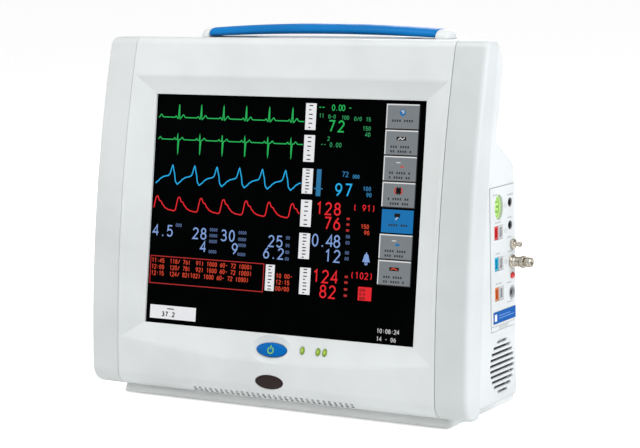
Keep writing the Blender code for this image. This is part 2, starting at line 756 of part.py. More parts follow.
def fan_frame():
    frame = box(span(FAN.x, FAN_HALF), span(FAN.y, FAN_HALF_DEPTH), span(FAN.z, FAN_HALF))
    cut(frame, rod("y", FAN, FAN_BORE_R, 30, 32))
    join(frame, rod("y", (FAN.x, FAN.y - 6.0, FAN.z), 11.0, 3.0, 24))   # hub
    for i in range(STRUT_COUNT):
        turn = math.radians(360 / STRUT_COUNT * i + 30)
        join(frame, box((0, 29.0), (-FAN_HALF_DEPTH, -5.5), span(0, 1.5), fan_turn(turn)))
    place(frame, "fan_frame", "black_plastic")


def fan_rotor():
    axis = empty("fan_axis", FAN)
    rotor = rod("y", (FAN.x, FAN.y + ROTOR_Y, FAN.z), 11.5, 10.0, 24)
    pitch = Matrix.Translation((0, ROTOR_Y, 0)) @ Matrix.Rotation(BLADE_PITCH, 4, "X")
    for i in range(BLADE_COUNT):
        frame = fan_turn(2 * math.pi * i / BLADE_COUNT) @ pitch
        join(rotor, box((10.0, 26.5), span(0, 0.6), span(0, 5.5), frame))
    place(rotor, "fan_rotor", "black_plastic", FAN, axis)


# ---------------------------------------------------------------- speaker, turned about X
# (radius, x) profiles
BASKET = ((22.6, 212.4), (22.6, 210.0), (13.0, 196.6), (8.0, 194.0), (0.0, 194.0), (0.0, 187.0),
          (15.5, 187.0), (15.5, 197.0), (24.6, 209.0), (25.6, 210.9), (25.6, 212.4))
CONE = ((21.2, 212.2), (11.6, 199.4), (6.2, 197.4), (0.0, 198.4), (0.0, 197.2), (6.5, 196.0),
        (12.0, 198.0), (22.2, 211.4), (22.2, 212.2))


def speaker():
    place(turned(BASKET, "x", SPEAKER, 20), "speaker_frame", "steel")
    place(turned(CONE, "x", SPEAKER, 20), "speaker_cone", "cone_paper")


# ---------------------------------------------------------------- module bay
CAGE_Y, CAGE_Z, CAGE_WALL = (27.2, 75.0), (-97.6, 32.6), 1.0
PLUG_HOLLOW_Y, PLUG_HOLLOW_Z = (46.0, 56.0), (-57.0, -3.0)       # inside of the bay's connector


def module_bay():
    cage = box((48.0, 208.0), CAGE_Y, CAGE_Z)
    cut(cage, box((40.0, 215.0), shrink(CAGE_Y, CAGE_WALL), shrink(CAGE_Z, CAGE_WALL)))
    cut(cage, merged([box((60 + 24 * i, 76 + 24 * i), (20, 80), (-80, 16)) for i in range(6)]))
    place(cage, "module_bay", "steel")
    backplane = box((45.0, 46.6), (30.0, 72.5), (-94.0, 29.0))
    join(backplane, box((46.0, 53.0), (44.0, 58.0), (-60.0, 0.0)))
    cut(backplane, box((48.0, 60.0), PLUG_HOLLOW_Y, PLUG_HOLLOW_Z))
    place(backplane, "bay_backplane", "board_green")


# ---------------------------------------------------------------- plug-in module
FACE_X = 217.0                           # outer face of the faceplate
MODULE_ORIGIN_Y = 49.5
CASE_X, CASE_Y, CASE_Z, CASE_WALL = (56.0, 209.6), (28.8, 73.4), (-95.9, 30.9), 1.8
LABEL_Y, LABEL_Z = (27.2, 74.4), (-95.9, -84.3)                  # recess for the label
# y, z of the fittings on the face
ECG = (41.0, 13.9)
JACKS = (("temperature_jack_upper", (64.3, 15.9)), ("temperature_jack_lower", (64.3, -5.9)))
SYNC = (68.2, -24.6)
HOSE = (67.2, -41.0)
RELEASE = (68.0, -54.6)
PORT = (66.8, -70.8)
# round and oval holes: centre, half width along y and z, segments
FACE_HOLES = (
    (ECG, (8.6, 12.0), 20),
    *((centre, (4.4, 4.4), 20) for _, centre in JACKS),
    (SYNC, (3.3, 3.3), 16),
    (HOSE, (5.3, 5.3), 20),
    (RELEASE, (4.5, 3.2), 20),
    (PORT, (6.7, 6.7), 16),
)
# rectangular sockets: name, centre z, material
SOCKETS = (("pressure_socket", -10.0, "socket_red"), ("oximetry_socket", -39.5, "socket_cyan"),
           ("sensor_socket", -68.0, "socket_orange"))
SOCKET_Y, SOCKET_HALF_Y, SOCKET_HALF_Z = 40.0, 8.5, 6.3
# blocks on the module board: x range, z range
CARD_BLOCKS = (((90, 120), (-20, 10)), ((140, 180), (-70, -40)), ((150, 190), (-10, 16)))
# (radius, x) profiles of the turned fittings
JACK_PROFILE = ((2.6, 216.2), (2.6, 205.0), (0.0, 205.0), (0.0, 203.0), (4.1, 203.0), (4.1, 216.2))
SYNC_PROFILE = ((1.2, 226.4), (1.2, 210.0), (0.0, 210.0), (0.0, 206.0), (3.0, 206.0), (3.0, 217.3),
                (5.0, 217.3), (5.0, 219.8), (2.1, 220.6), (2.1, 223.6), (2.7, 224.4), (2.7, 226.4))
HOSE_PROFILE = ((2.1, 238.0), (2.1, 210.0), (0.0, 210.0), (0.0, 204.0), (5.0, 204.0), (5.0, 217.3),
                (6.4, 217.3), (6.4, 218.8), (5.0, 219.2), (5.0, 225.6), (3.6, 226.2), (3.6, 233.0),
                (4.3, 233.6), (4.3, 238.0))
COLLAR_PROFILE = ((3.9, 230.6), (3.9, 226.4), (5.0, 226.4), (5.4, 226.9), (5.4, 227.7),
                  (6.1, 228.2), (6.1, 229.9), (5.9, 230.6))
PORT_PROFILE = ((5.0, 216.4), (4.6, 214.2), (0.0, 214.2), (0.0, 207.0), (6.4, 207.0), (6.4, 216.4))


def module_case(slide):
    case = bevel(box(CASE_X, CASE_Y, CASE_Z), 1.2, 1)
    cut(case, box((60.0, 214.0), shrink(CASE_Y, CASE_WALL), shrink(CASE_Z, CASE_WALL)))
    cut(case, box((50.0, 62.0), (44.6, 57.4), (-59.4, -0.6)))           # for the plug
    cut(case, box((202.0, 214.0), (62.0, 80.0), (-79.0, -19.0)))        # behind the fittings
    place(case, "module_case", "steel", parent=slide)


def module_faceplate(slide):
    plate = bevel(box((210.0, FACE_X), MODULE_Y, MODULE_Z), 1.0, 2, 50)
    holes = [rod("x", (214, *centre), 1.0, 20, segments, radii)
             for centre, radii, segments in FACE_HOLES]
    holes += [box((200, 230), span(SOCKET_Y, SOCKET_HALF_Y + GAP), span(z, SOCKET_HALF_Z + GAP))
              for _, z, _ in SOCKETS]
    cut(plate, merged(holes))
    cut(plate, box((FACE_X - 0.6, 230), LABEL_Y, LABEL_Z))
    place(plate, "module_faceplate", "rear_white", parent=slide)
    label = box((FACE_X - 0.3, FACE_X + 0.2), shrink(LABEL_Y, GAP), shrink(LABEL_Z, GAP))
    place(bevel(label, 0.15, 1), "module_label", "label_blue", parent=slide)
    latch_z = (MODULE_Z[0] - 4.9, MODULE_Z[0] - 0.5)
    latch = bevel(box((209.5, FACE_X - 0.4), shrink(MODULE_Y, 0.2), latch_z), 0.7, 2, 50)
    place(latch, "module_latch", "rear_white", (213.0, MODULE_ORIGIN_Y, sum(latch_z) / 2), slide)


def module_board(slide):
    card_y = (50.2, 51.8)
    card = box((70.0, 201.0), card_y, (-88.0, 24.0))
    join(card, box((57.0, 71.0), card_y, (-52.0, -8.0)))
    for x_range, z_range in CARD_BLOCKS:
        join(card, box(x_range, (51.0, 57.0), z_range))
    place(card, "module_board", "board_green", parent=slide)
    place(box((49.0, 56.6), shrink(PLUG_HOLLOW_Y, 0.5), shrink(PLUG_HOLLOW_Z, 0.5)),
          "module_plug", "black_plastic", parent=slide)


def module_sockets(slide):
    y, z = ECG
    well_y = y + 0.4                     # the oval well and its six pin holes sit off centre
    socket = rod("x", (210.6, y, z), 1.0, 6.8, 20, (8.3, 11.7))
    cut(socket, rod("x", (213.6, well_y, z), 1.0, 3.0, 18, (6.6, 9.6)))
    for i in range(6):
        turn = 2 * math.pi * i / 6
        pin = (212.0, well_y + 3.6 * math.cos(turn), z + 5.4 * math.sin(turn))
        cut(socket, rod("x", pin, 0.9, 4.0, 6))
    place(socket, "ecg_socket", "socket_green", parent=slide)
    for name, z, look in SOCKETS:
        block = box((206.0, 215.4), span(SOCKET_Y, SOCKET_HALF_Y), span(z, SOCKET_HALF_Z))
        cut(block, box((211.0, 220.0), (34.0, 46.5), span(z, 4.2)))
        join(block, box((208.0, 214.2), (35.6, 40.0), span(z, 2.6)))
        place(block, name, look, parent=slide)


def module_fittings(slide):
    for name, centre in JACKS:
        place(turned(JACK_PROFILE, "x", (0, *centre), 14), name, "black_plastic", parent=slide)
    place(turned(SYNC_PROFILE, "x", (0, *SYNC), 12), "sync_fitting", "nickel", parent=slide)
    place(turned(PORT_PROFILE, "x", (0, *PORT), 16), "round_port", "rear_white", parent=slide)
    place(turned(HOSE_PROFILE, "x", (0, *HOSE), 16), "hose_fitting", "nickel", parent=slide)
    collar_origin = (229.5, *HOSE)
    collar = empty("hose_collar_slide", collar_origin, slide)
    place(turned(COLLAR_PROFILE, "x", (0, *HOSE), 16), "hose_collar", "nickel",
          collar_origin, collar)
    release = rod("x", (212.5, *RELEASE), 1.0, 9.0, 20, (4.1, 2.8))
    tip = (FACE_X, *RELEASE)
    join(release, ball(Matrix.Translation(tip), (0, 0, 0), (2.4, 4.06, 2.76), 20, 10))
    place(release, "hose_release", "socket_red", tip, slide)


def plug_in_module():
    """Everything that slides out along +X."""
    slide = empty("module_slide", (FACE_X, MODULE_ORIGIN_Y, sum(MODULE_Z) / 2))
    module_case(slide)
    module_faceplate(slide)
    module_board(slide)
    module_sockets(slide)
    module_fittings(slide)


# ---------------------------------------------------------------- handle
GRIP_HALF = 131.5
GRIP_HALF_DEPTH = 15.2
HANDLE_SIDES = 14                        # points round each section
HANDLE_SPANS = 8                         # stretches between sections
HANDLE_REACH = 132.0                     # |x| where the handle is lowest and thinnest
# end cap sections: |x|, half depth along y, share of the full height
CAP_SECTIONS = ((GRIP_HALF + 0.4, GRIP_HALF_DEPTH, 1.0), (137.0, 15.0, 0.99), (142.0, 14.0, 0.92),
                (145.5, 12.0, 0.78), (147.6, 9.5, 0.58), (148.6, 6.5, 0.36))
# (radius, z) profile
HANDLE_SCREW = ((4.0, 161.7), (4.0, 164.2), (1.9, 164.2), (1.9, 171.0), (0.0, 171.0), (0.0, 161.7))


def handle_bar(half_length, half_depth, share=1.0, trim=0.0):
    """An arched oval bar; share scales the rule for its half height and trim is then taken off."""
    loops = []
    for station in range(HANDLE_SPANS + 1):
        x = half_length * (-1 + 2 * station / HANDLE_SPANS)
        reach = min(abs(x) / HANDLE_REACH, 1.0) ** 2
        middle = 176.5 - 4.7 * reach
        half_height = (5.0 - 1.5 * reach) * share - trim
        loop = []
        for i in range(HANDLE_SIDES):
            turn = 2 * math.pi * i / HANDLE_SIDES
            loop.append(Vector((x, HANDLE_Y + half_depth * math.cos(turn),
                                middle + half_height * math.sin(turn))))
        loops.append(loop)
    return loft(loops)


def handle_cap(sign):
    """A rounded, flat-bottomed end cap standing on the rear housing."""
    low = REAR_TOP + GAP
    loops = []
    for x, half_depth, share in CAP_SECTIONS:
        loop = []
        for i in range(HANDLE_SIDES):
            turn = 2 * math.pi * i / HANDLE_SIDES
            rise = 4.0 + 3.4 * math.sin(turn) if math.sin(turn) > -0.01 else 0.0
            loop.append(Vector((x * sign, HANDLE_Y + half_depth * math.cos(turn),
                                low + rise * share)))
        loops.append(loop)
    return loft(loops)


def handle():
    grip = handle_bar(GRIP_HALF, GRIP_HALF_DEPTH)
    cut(grip, handle_bar(GRIP_HALF + 3, 11.3, 0.55))
    place(grip, "handle_grip", "handle_blue")
    beam = handle_bar(GRIP_HALF + 4, 11.0, 0.55, 0.3)
    for side, sign in SIDES:
        screw_x = sign * HANDLE_SCREW_X
        join(beam, handle_cap(sign))
        cut(beam, rod("z", (screw_x, HANDLE_Y, 166.5), HANDLE_HOLE_R, 10, 12))
        place(turned(HANDLE_SCREW, "z", (screw_x, HANDLE_Y, 0), 8), f"handle_screw_{side}", "steel")
    place(beam, "handle_beam", "case_white")


# ---------------------------------------------------------------- plinth, mounting plate, feet
PLINTH_HALF, PLINTH_FRONT, PLINTH_BACK = 186.5, -11.0, 129.0
PLINTH_PROFILE = (                       # y, z
    (PLINTH_FRONT + 1.2, PLINTH_BOTTOM), (PLINTH_BACK - 3, PLINTH_BOTTOM),
    (PLINTH_BACK, PLINTH_BOTTOM + 3), (PLINTH_BACK, REAR_BOTTOM - 6),
    (PLINTH_BACK - 6, REAR_BOTTOM - GAP), (2.0, REAR_BOTTOM - GAP), (2.0, FRONT_BOTTOM - GAP),
    (PLINTH_FRONT + 3.4, FRONT_BOTTOM - GAP), (PLINTH_FRONT + 1.6, -183.4),
    (PLINTH_FRONT + 0.3, -186.6), (PLINTH_FRONT, -188.6), (PLINTH_FRONT, PLINTH_BOTTOM + 1.2),
)
MOUNT_HALF_X, MOUNT_HALF_Y, MOUNT_GAP = 70, 45, 0.4
FEET = [(f"foot_{row}_{side}", sign * 160, y)                    # name, x, y
        for row, y in (("front", 6), ("rear", 112)) for side, sign in SIDES]
FOOT_PROFILE = (                         # radius, z
    (0.0, PLINTH_BOTTOM + 1.5), (0.0, PLINTH_BOTTOM - 1.5), (8.4, PLINTH_BOTTOM - 1.5),
    (9.0, PLINTH_BOTTOM - 0.9), (9.0, PLINTH_BOTTOM + 1.5),
)


def plinth():
    body = outline(PLINTH_PROFILE, -PLINTH_HALF, PLINTH_HALF)
    below = PLINTH_BOTTOM - 4
    pockets = [rod("z", (x, y, PLINTH_BOTTOM), 9.3, 3.6, 20) for _, x, y in FEET]
    pockets.append(box(span(0, MOUNT_HALF_X + MOUNT_GAP), span(MOUNT_Y, MOUNT_HALF_Y + MOUNT_GAP),
                       (below, PLINTH_BOTTOM + 2.3)))
    pockets += [box(x_range, (18, 100), (below, PLINTH_BOTTOM + 12))
                for x_range in ((-180, -78), (78, 180))]
    cut(body, merged(pockets))
    place(body, "plinth", "case_white")


def mounting_plate():
    plate = box(span(0, MOUNT_HALF_X), span(MOUNT_Y, MOUNT_HALF_Y),
                (PLINTH_BOTTOM, PLINTH_BOTTOM + 2.0))
    cut(plate, merged([rod("z", (x, y, PLINTH_BOTTOM), 2.1, 10, 12)
                       for x in span(0, 50) for y in span(MOUNT_Y, 30)]))
    place(plate, "mounting_plate", "steel", (0, MOUNT_Y, PLINTH_BOTTOM))


def feet():
    for name, x, y in FEET:
        place(turned(FOOT_PROFILE, "z", (x, y, 0), 14), name, "rubber_black")


# ---------------------------------------------------------------- the whole monitor
front_bezel()
cheeks()
display_stack()
lcd_chassis()
power_button()
lenses()
rear_housing()
case_screws()
connectors()
main_board()
heat_sink()
power_supply()
display_cable()
fan_frame()
fan_rotor()
speaker()
module_bay()
plug_in_module()
handle()
plinth()
mounting_plate()
feet()
bpy.data.collections.remove(work)
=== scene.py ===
"""Bedside patient monitor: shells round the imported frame, a lit display, sockets, handle and plinth.

Dimensions are millimetres in a working frame whose origin is the centre of the display: x to the
right seen from the front, y towards the back, z up. SHIFT moves that frame to the centre of the
underside, and file_piece scales it to metres. The display leans back by TILT.
"""

import json
import random
from math import atan, atan2, copysign, cos, exp, pi, radians, sin, sqrt

import bmesh
import bpy
from mathutils import Matrix, Vector

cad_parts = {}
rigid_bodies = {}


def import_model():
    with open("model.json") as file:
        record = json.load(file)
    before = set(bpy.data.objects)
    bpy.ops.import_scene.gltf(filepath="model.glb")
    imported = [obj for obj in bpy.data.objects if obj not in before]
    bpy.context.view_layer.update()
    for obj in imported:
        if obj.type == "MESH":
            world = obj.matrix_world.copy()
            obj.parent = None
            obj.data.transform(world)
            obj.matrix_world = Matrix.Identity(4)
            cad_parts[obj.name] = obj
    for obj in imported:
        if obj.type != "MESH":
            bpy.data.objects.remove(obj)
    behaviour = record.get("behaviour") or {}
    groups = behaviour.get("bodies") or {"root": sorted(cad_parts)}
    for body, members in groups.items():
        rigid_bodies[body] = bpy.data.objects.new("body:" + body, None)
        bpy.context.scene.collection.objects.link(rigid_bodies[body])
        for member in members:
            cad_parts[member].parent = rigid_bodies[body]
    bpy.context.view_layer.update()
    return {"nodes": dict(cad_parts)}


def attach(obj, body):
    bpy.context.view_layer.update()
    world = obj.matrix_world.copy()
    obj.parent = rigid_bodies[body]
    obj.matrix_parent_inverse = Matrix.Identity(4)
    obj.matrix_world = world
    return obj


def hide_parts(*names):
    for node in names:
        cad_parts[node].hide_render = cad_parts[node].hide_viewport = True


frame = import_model()
random.seed(7)

# Collection that holds shapes until they are filed as finished pieces
work = bpy.data.collections.new("working_shapes")
bpy.context.scene.collection.children.link(work)

# ---------------------------------------------------------------- driving dimensions, mm
TILT = radians(8.7)

# Bowed outlines: y = a + b*(z/100) + c*(z/100)^2
FRONT_BOW = (-12.8, 15.8, 3.94)          # front face
SEAM_BOW = (14.05, 14.64, 2.75)          # flank seam between front and rear housings
FRONT_BOTTOM = -181.0
FRONT_LOW_R, FRONT_TOP_R = 18.0, 9.0     # corner radii of the front's side profile
FRONT_BEND_Z = 163.4                     # where the bowed face meets the top corner
BEZEL_HALF = 182.3                       # half width of the centre bezel
CHEEK_IN, CHEEK_OUT = 182.7, 217.0       # x range of the side cheeks
CHEEK_ROUND = 5.5
SKIN = 3.0
GAP = 0.3

OPEN_W, OPEN_H = 155.1, 115.5            # half size of the display opening
CHAMFER_X, CHAMFER_TOP = 179.0, 133.0
CHAMFER_SIDE_Z, CHAMFER_SAG = -129.0, 12.3
CUT_FRONT = -120.0                       # y where cutters end, clear of the front

REAR_HALF = 216.0
REAR_TOP, REAR_BOTTOM = 167.6, -172.5
REAR_BACK = 78.5
BULGE_BACK = 134.0
BULGE_HALF_FRONT, BULGE_HALF_BACK = 165.0, 150.0
FAN_X, FAN_Z = -70.0, -120.0
STANDOFFS = [(side * 124.0, z) for side in (-1, 1) for z in (105.0, -105.0)]

MODULE_Y = (24.0, 75.1)
MODULE_Z = (-98.0, 33.0)
MODULE_X = 217.0                         # outer face of the plug-in module

SPEAKER_Y, SPEAKER_Z, SPEAKER_R = 47.5, -138.3, 26.7

PLINTH_HALF, PLINTH_FRONT, PLINTH_BACK = 186.5, -11.0, 129.0
PLINTH_BOTTOM = -190.8
SHIFT = Vector((0.0, -(PLINTH_FRONT + PLINTH_BACK) / 2, -PLINTH_BOTTOM))

HANDLE_Y = 93.0
HANDLE_SCREW_X = 140.0
GRIP_HALF = 131.5


# ---------------------------------------------------------------- modelling helpers
def hold(mesh):
    """Wraps a mesh in a working object."""
    obj = bpy.data.objects.new("shape", mesh)
    work.objects.link(obj)
    return obj


def add(bm):
    bmesh.ops.recalc_face_normals(bm, faces=bm.faces)
    mesh = bpy.data.meshes.new("shape")
    bm.to_mesh(mesh)
    bm.free()
    return hold(mesh)


def box(x0, x1, y0, y1, z0, z1):
    bm = bmesh.new()
    bmesh.ops.create_cube(bm, size=1.0)
    size = Matrix.Diagonal((x1 - x0, y1 - y0, z1 - z0, 1.0))
    move = Matrix.Translation(((x0 + x1) / 2, (y0 + y1) / 2, (z0 + z1) / 2))
    bm.transform(move @ size)
    return add(bm)


def placed_box(place, *sides):
    obj = box(*sides)
    obj.data.transform(place)
    return obj


AXES = {
    # local z -> x, x -> y, y -> z
    "x": Matrix(((0, 0, 1, 0), (1, 0, 0, 0), (0, 1, 0, 0), (0, 0, 0, 1))),
    # local z -> y
    "y": Matrix(((1, 0, 0, 0), (0, 0, 1, 0), (0, -1, 0, 0), (0, 0, 0, 1))),
    "z": Matrix.Identity(4),
}


def rod(axis, centre, radius, length, segments, stretch=(1.0, 1.0)):
    """A cylinder; centre is the middle of its length."""
    bm = bmesh.new()
    bmesh.ops.create_cone(bm, cap_ends=True, segments=segments, radius1=radius,
                          radius2=radius, depth=length)
    bm.transform(Matrix.Translation(centre) @ AXES[axis] @ Matrix.Diagonal((*stretch, 1, 1)))
    return add(bm)


def oval_rod(place, z, half_x, half_y, length, segments):
    """An elliptic cylinder along the local z of a placing matrix, its middle at z."""
    bm = bmesh.new()
    bmesh.ops.create_cone(bm, cap_ends=True, segments=segments, radius1=1.0, radius2=1.0,
                          depth=length)
    bm.transform(place @ Matrix.Translation((0, 0, z)) @ Matrix.Diagonal((half_x, half_y, 1, 1)))
    return add(bm)


def ball(place, centre, halves, u_segments, v_segments):
    """An ellipsoid in a placing matrix."""
    bm = bmesh.new()
    bmesh.ops.create_uvsphere(bm, u_segments=u_segments, v_segments=v_segments, radius=1.0)
    bm.transform(place @ Matrix.Translation(centre) @ Matrix.Diagonal((*halves, 1)))
    return add(bm)


def bake(obj):
    """Applies the object's modifiers."""
    bpy.context.view_layer.update()
    graph = bpy.context.evaluated_depsgraph_get()
    mesh = bpy.data.meshes.new_from_object(obj.evaluated_get(graph))
    obj.modifiers.clear()
    obj.data = mesh
    return obj


def outline(points, x0, x1):
    """A Y-Z outline as a filled 2D curve, extruded along X and made a closed mesh."""
    curve = bpy.data.curves.new("outline", "CURVE")
    curve.dimensions = "2D"
    curve.fill_mode = "BOTH"
    curve.extrude = (x1 - x0) / 2
    spline = curve.splines.new("POLY")
    spline.points.add(len(points) - 1)
    for point, (y, z) in zip(spline.points, points):
        point.co = (y, z, 0.0, 1.0)
    spline.use_cyclic_u = True
    holder = hold(curve)
    bpy.context.view_layer.update()
    graph = bpy.context.evaluated_depsgraph_get()
    mesh = bpy.data.meshes.new_from_object(holder.evaluated_get(graph))
    bpy.data.objects.remove(holder)
    bm = bmesh.new()
    bm.from_mesh(mesh)
    bmesh.ops.remove_doubles(bm, verts=bm.verts, dist=0.001)
    bmesh.ops.dissolve_limit(bm, angle_limit=0.0005, verts=bm.verts, edges=bm.edges)
    bm.transform(Matrix.Translation(((x0 + x1) / 2, 0, 0)) @ AXES["x"])
    return add(bm)


def loft(loops):
    """A closed solid through unlike sections that have the same number of points."""
    bm = bmesh.new()
    rows = [[bm.verts.new(p) for p in loop] for loop in loops]
    count = len(rows[0])
    for low, high in zip(rows, rows[1:]):
        for i in range(count):
            j = (i + 1) % count
            bm.faces.new((low[i], low[j], high[j], high[i]))
    bm.faces.new(rows[0])
    bm.faces.new(rows[-1])
    return add(bm)


def turned(profile, axis, centre, steps):
    """A turned part: a profile of (radius, along) spun by a Screw modifier."""
    bm = bmesh.new()
    verts = [bm.verts.new((radius, 0.0, along)) for radius, along in profile]
    for first, second in zip(verts, verts[1:]):
        bm.edges.new((first, second))
    if profile[0][0] > 0.0 or profile[-1][0] > 0.0:
        bm.edges.new((verts[-1], verts[0]))
    mesh = bpy.data.meshes.new("turned")
    bm.to_mesh(mesh)
    bm.free()
    obj = hold(mesh)
    screw = obj.modifiers.new("Screw", "SCREW")
    screw.axis = "Z"
    screw.steps = screw.render_steps = steps
    screw.use_merge_vertices = True
    screw.merge_threshold = 0.0001
    bake(obj)
    bm = bmesh.new()
    bm.from_mesh(obj.data)
    bmesh.ops.remove_doubles(bm, verts=bm.verts, dist=0.0005)
    bmesh.ops.recalc_face_normals(bm, faces=bm.faces)
    bm.transform(Matrix.Translation(centre) @ AXES[axis])
    bm.to_mesh(obj.data)
    bm.free()
    return obj


def boolean(obj, others, operation):
    for other in others:
        modifier = obj.modifiers.new("Boolean", "BOOLEAN")
        modifier.operation = operation
        modifier.object = other
        modifier.solver = "EXACT"
        bake(obj)
        bpy.data.objects.remove(other)
    return obj


def cut(obj, *others):
    return boolean(obj, others, "DIFFERENCE")


def join(obj, *others):
    return boolean(obj, others, "UNION")


def merged(objs):
    """Separate shapes that don't touch, as one mesh."""
    bm = bmesh.new()
    for obj in objs:
        bm.from_mesh(obj.data)
        bpy.data.objects.remove(obj)
    return add(bm)


def bevel(obj, width, segments=2, angle=35.0):
    modifier = obj.modifiers.new("Bevel", "BEVEL")
    modifier.width = width
    modifier.segments = segments
    modifier.limit_method = "ANGLE"
    modifier.angle_limit = radians(angle)
    modifier.use_clamp_overlap = True
    return bake(obj)


def mirrored(obj):
    mesh = obj.data.copy()
    mesh.transform(Matrix.Diagonal((-1, 1, 1, 1)))
    mesh.flip_normals()
    return hold(mesh)


def arc(cx, cy, rx, ry, start, end, steps=10):
    """Points on an ellipse between two angles in degrees."""
    angles = [radians(start + (end - start) * i / steps) for i in range(steps + 1)]
    return [(cx + rx * cos(a), cy + ry * sin(a)) for a in angles]


def ribbon(paths, width, thick, base):
    """Flat strips along 2D paths, from base to base+thick; a path that meets itself is closed."""
    bm = bmesh.new()
    for path in paths:
        points = [Vector((p[0], p[1], 0)) for p in path]
        closed = len(points) > 3 and (points[0] - points[-1]).length < 1e-6
        if closed:
            points = points[:-1]
        count = len(points)
        rings = []
        for i, p in enumerate(points):
            steps = []
            if i or closed:
                steps.append((p - points[i - 1]).normalized())
            if i < count - 1 or closed:
                steps.append((points[(i + 1) % count] - p).normalized())
            arriving, leaving = steps[0], steps[-1]
            heading = arriving + leaving
            heading = heading.normalized() if heading.length > 1e-4 else arriving
            side = Vector((-heading.y, heading.x, 0))
            mitre = max(abs(side.dot(Vector((-arriving.y, arriving.x, 0)))), 0.45)
            a = p + side * (width / 2 / mitre)
            b = p - side * (width / 2 / mitre)
            corners = ((a, base), (a, base + thick), (b, base + thick), (b, base))
            rings.append([bm.verts.new((edge.x, edge.y, z)) for edge, z in corners])
        for i in range(count if closed else count - 1):
            ring, following = rings[i], rings[(i + 1) % count]
            for k in range(4):
                j = (k + 1) % 4
                bm.faces.new((ring[k], ring[j], following[j], following[k]))
        if not closed:
            bm.faces.new(rings[0])
            bm.faces.new(rings[-1][::-1])
    return add(bm)


def plates(loops, thick, base):
    """Flat plates with the given 2D outlines, as one mesh."""
    bm = bmesh.new()
    for loop in loops:
        low = [bm.verts.new((u, v, base)) for u, v in loop]
        high = [bm.verts.new((u, v, base + thick)) for u, v in loop]
        bm.faces.new(low[::-1])
        bm.faces.new(high)
        count = len(loop)
        for k in range(count):
            j = (k + 1) % count
            bm.faces.new((low[k], low[j], high[j], high[k]))
    return add(bm)


def tile(rects, thick, base, corner=0.0):
    """Flat plates, each (u0, u1, v0, v1), with an optional corner radius."""
    loops = []
    for u0, u1, v0, v1 in rects:
        if corner:
            loops.append(arc(u1 - corner, v0 + corner, corner, corner, -90, 0, 4)
                         + arc(u1 - corner, v1 - corner, corner, corner, 0, 90, 4)
                         + arc(u0 + corner, v1 - corner, corner, corner, 90, 180, 4)
                         + arc(u0 + corner, v0 + corner, corner, corner, 180, 270, 4))
        else:
            loops.append([(u0, v0), (u1, v0), (u1, v1), (u0, v1)])
    return plates(loops, thick, base)


# ---------------------------------------------------------------- rules for the curved outlines
def bow(coefficients, z):
    a, b, c = coefficients
    return a + b * z / 100 + c * (z / 100) ** 2


def slope(coefficients, z):
    return (coefficients[1] + 2 * coefficients[2] * z / 100) / 100


def lean(depth, height):
    """(y, z) of a point at a depth behind the display plane and a height up it."""
    return (depth * cos(TILT) + height * sin(TILT),
            height * cos(TILT) - depth * sin(TILT))


def front_outline(inset=0.0, back=None):
    """Side profile of the front housing; inset thins it, back pushes its rear edge out."""
    steps = 36
    z_low = FRONT_BOTTOM + FRONT_LOW_R
    y_low = bow(FRONT_BOW, z_low)
    tangent = atan(slope(FRONT_BOW, FRONT_BEND_Z))
    top_y = bow(FRONT_BOW, FRONT_BEND_Z) + FRONT_TOP_R * cos(tangent)
    top_z = FRONT_BEND_Z - FRONT_TOP_R * sin(tangent)
    low_r, top_r = FRONT_LOW_R - inset, FRONT_TOP_R - inset
    points = []
    for i in range(17):                                 # bottom front corner
        a = radians(270 - 90 * i / 16)
        points.append((y_low + FRONT_LOW_R + low_r * cos(a), z_low + low_r * sin(a)))
    for i in range(1, steps):                           # bowed front face
        z = z_low + (FRONT_BEND_Z - z_low) * i / steps
        points.append((bow(FRONT_BOW, z) + inset, z))
    for i in range(13):                                 # top front corner
        a = pi - tangent + (pi / 2 - (pi - tangent)) * i / 12
        points.append((top_y + top_r * cos(a), top_z + top_r * sin(a)))
    top, bottom = top_z + FRONT_TOP_R - inset, FRONT_BOTTOM + inset
    if back is None:                                    # seam with softened ends
        points += [(bow(SEAM_BOW, top) - 2.2, top), (bow(SEAM_BOW, top - 2) - 0.2, top - 2)]
        for i in range(1, steps // 2):
            z = top - 2 + (bottom + 4 - top) * i / (steps // 2)
            points.append((bow(SEAM_BOW, z) - 0.2, z))
        points += [(bow(SEAM_BOW, bottom + 2) - 0.2, bottom + 2),
                   (bow(SEAM_BOW, bottom) - 2.0, bottom)]
    else:
        for i in range(steps // 2 + 1):
            z = top + (bottom - top) * i / (steps // 2)
            points.append((bow(SEAM_BOW, z) + back, z))
    return points


def round_opening(point):
    """Calls point(u, v) round a square from -1 to 1: bottom, right, top, left."""
    bottom, side, top = 48, 20, 16
    return ([point(-1 + 2 * i / bottom, -1) for i in range(bottom)]
            + [point(1, -1 + 2 * i / side) for i in range(side)]
            + [point(1 - 2 * i / top, 1) for i in range(top)]
            + [point(-1, 1 - 2 * i / side) for i in range(side)])


def opening_loop(grow=0.0, depth=0.0):
    """The display opening at a depth behind the display plane."""
    return round_opening(
        lambda u, v: Vector((u * (OPEN_W + grow), *lean(depth, v * (OPEN_H + grow)))))


def chamfer_loop(grow=0.0, push=0.0):
    """The chamfer's outer edge on the bowed front face, pushed back along y."""
    def point(u, v):
        low = CHAMFER_SIDE_Z - CHAMFER_SAG * (1 - u * u) - grow
        high = CHAMFER_TOP + grow
        z = low + (high - low) * (v + 1) / 2
        return Vector((u * (CHAMFER_X + grow), bow(FRONT_BOW, z) + push, z))
    return round_opening(point)


def flattened(loop):
    return [Vector((p.x, CUT_FRONT, p.z)) for p in loop]


# The sloping panel under the display, as (y, z) of its upper and lower edges
PANEL_TOP = lean(0.0, -OPEN_H)
PANEL_LOW_Z = CHAMFER_SIDE_Z - CHAMFER_SAG
PANEL_RUN_Y = bow(FRONT_BOW, PANEL_LOW_Z) - PANEL_TOP[0]
PANEL_RUN_Z = PANEL_LOW_Z - PANEL_TOP[1]


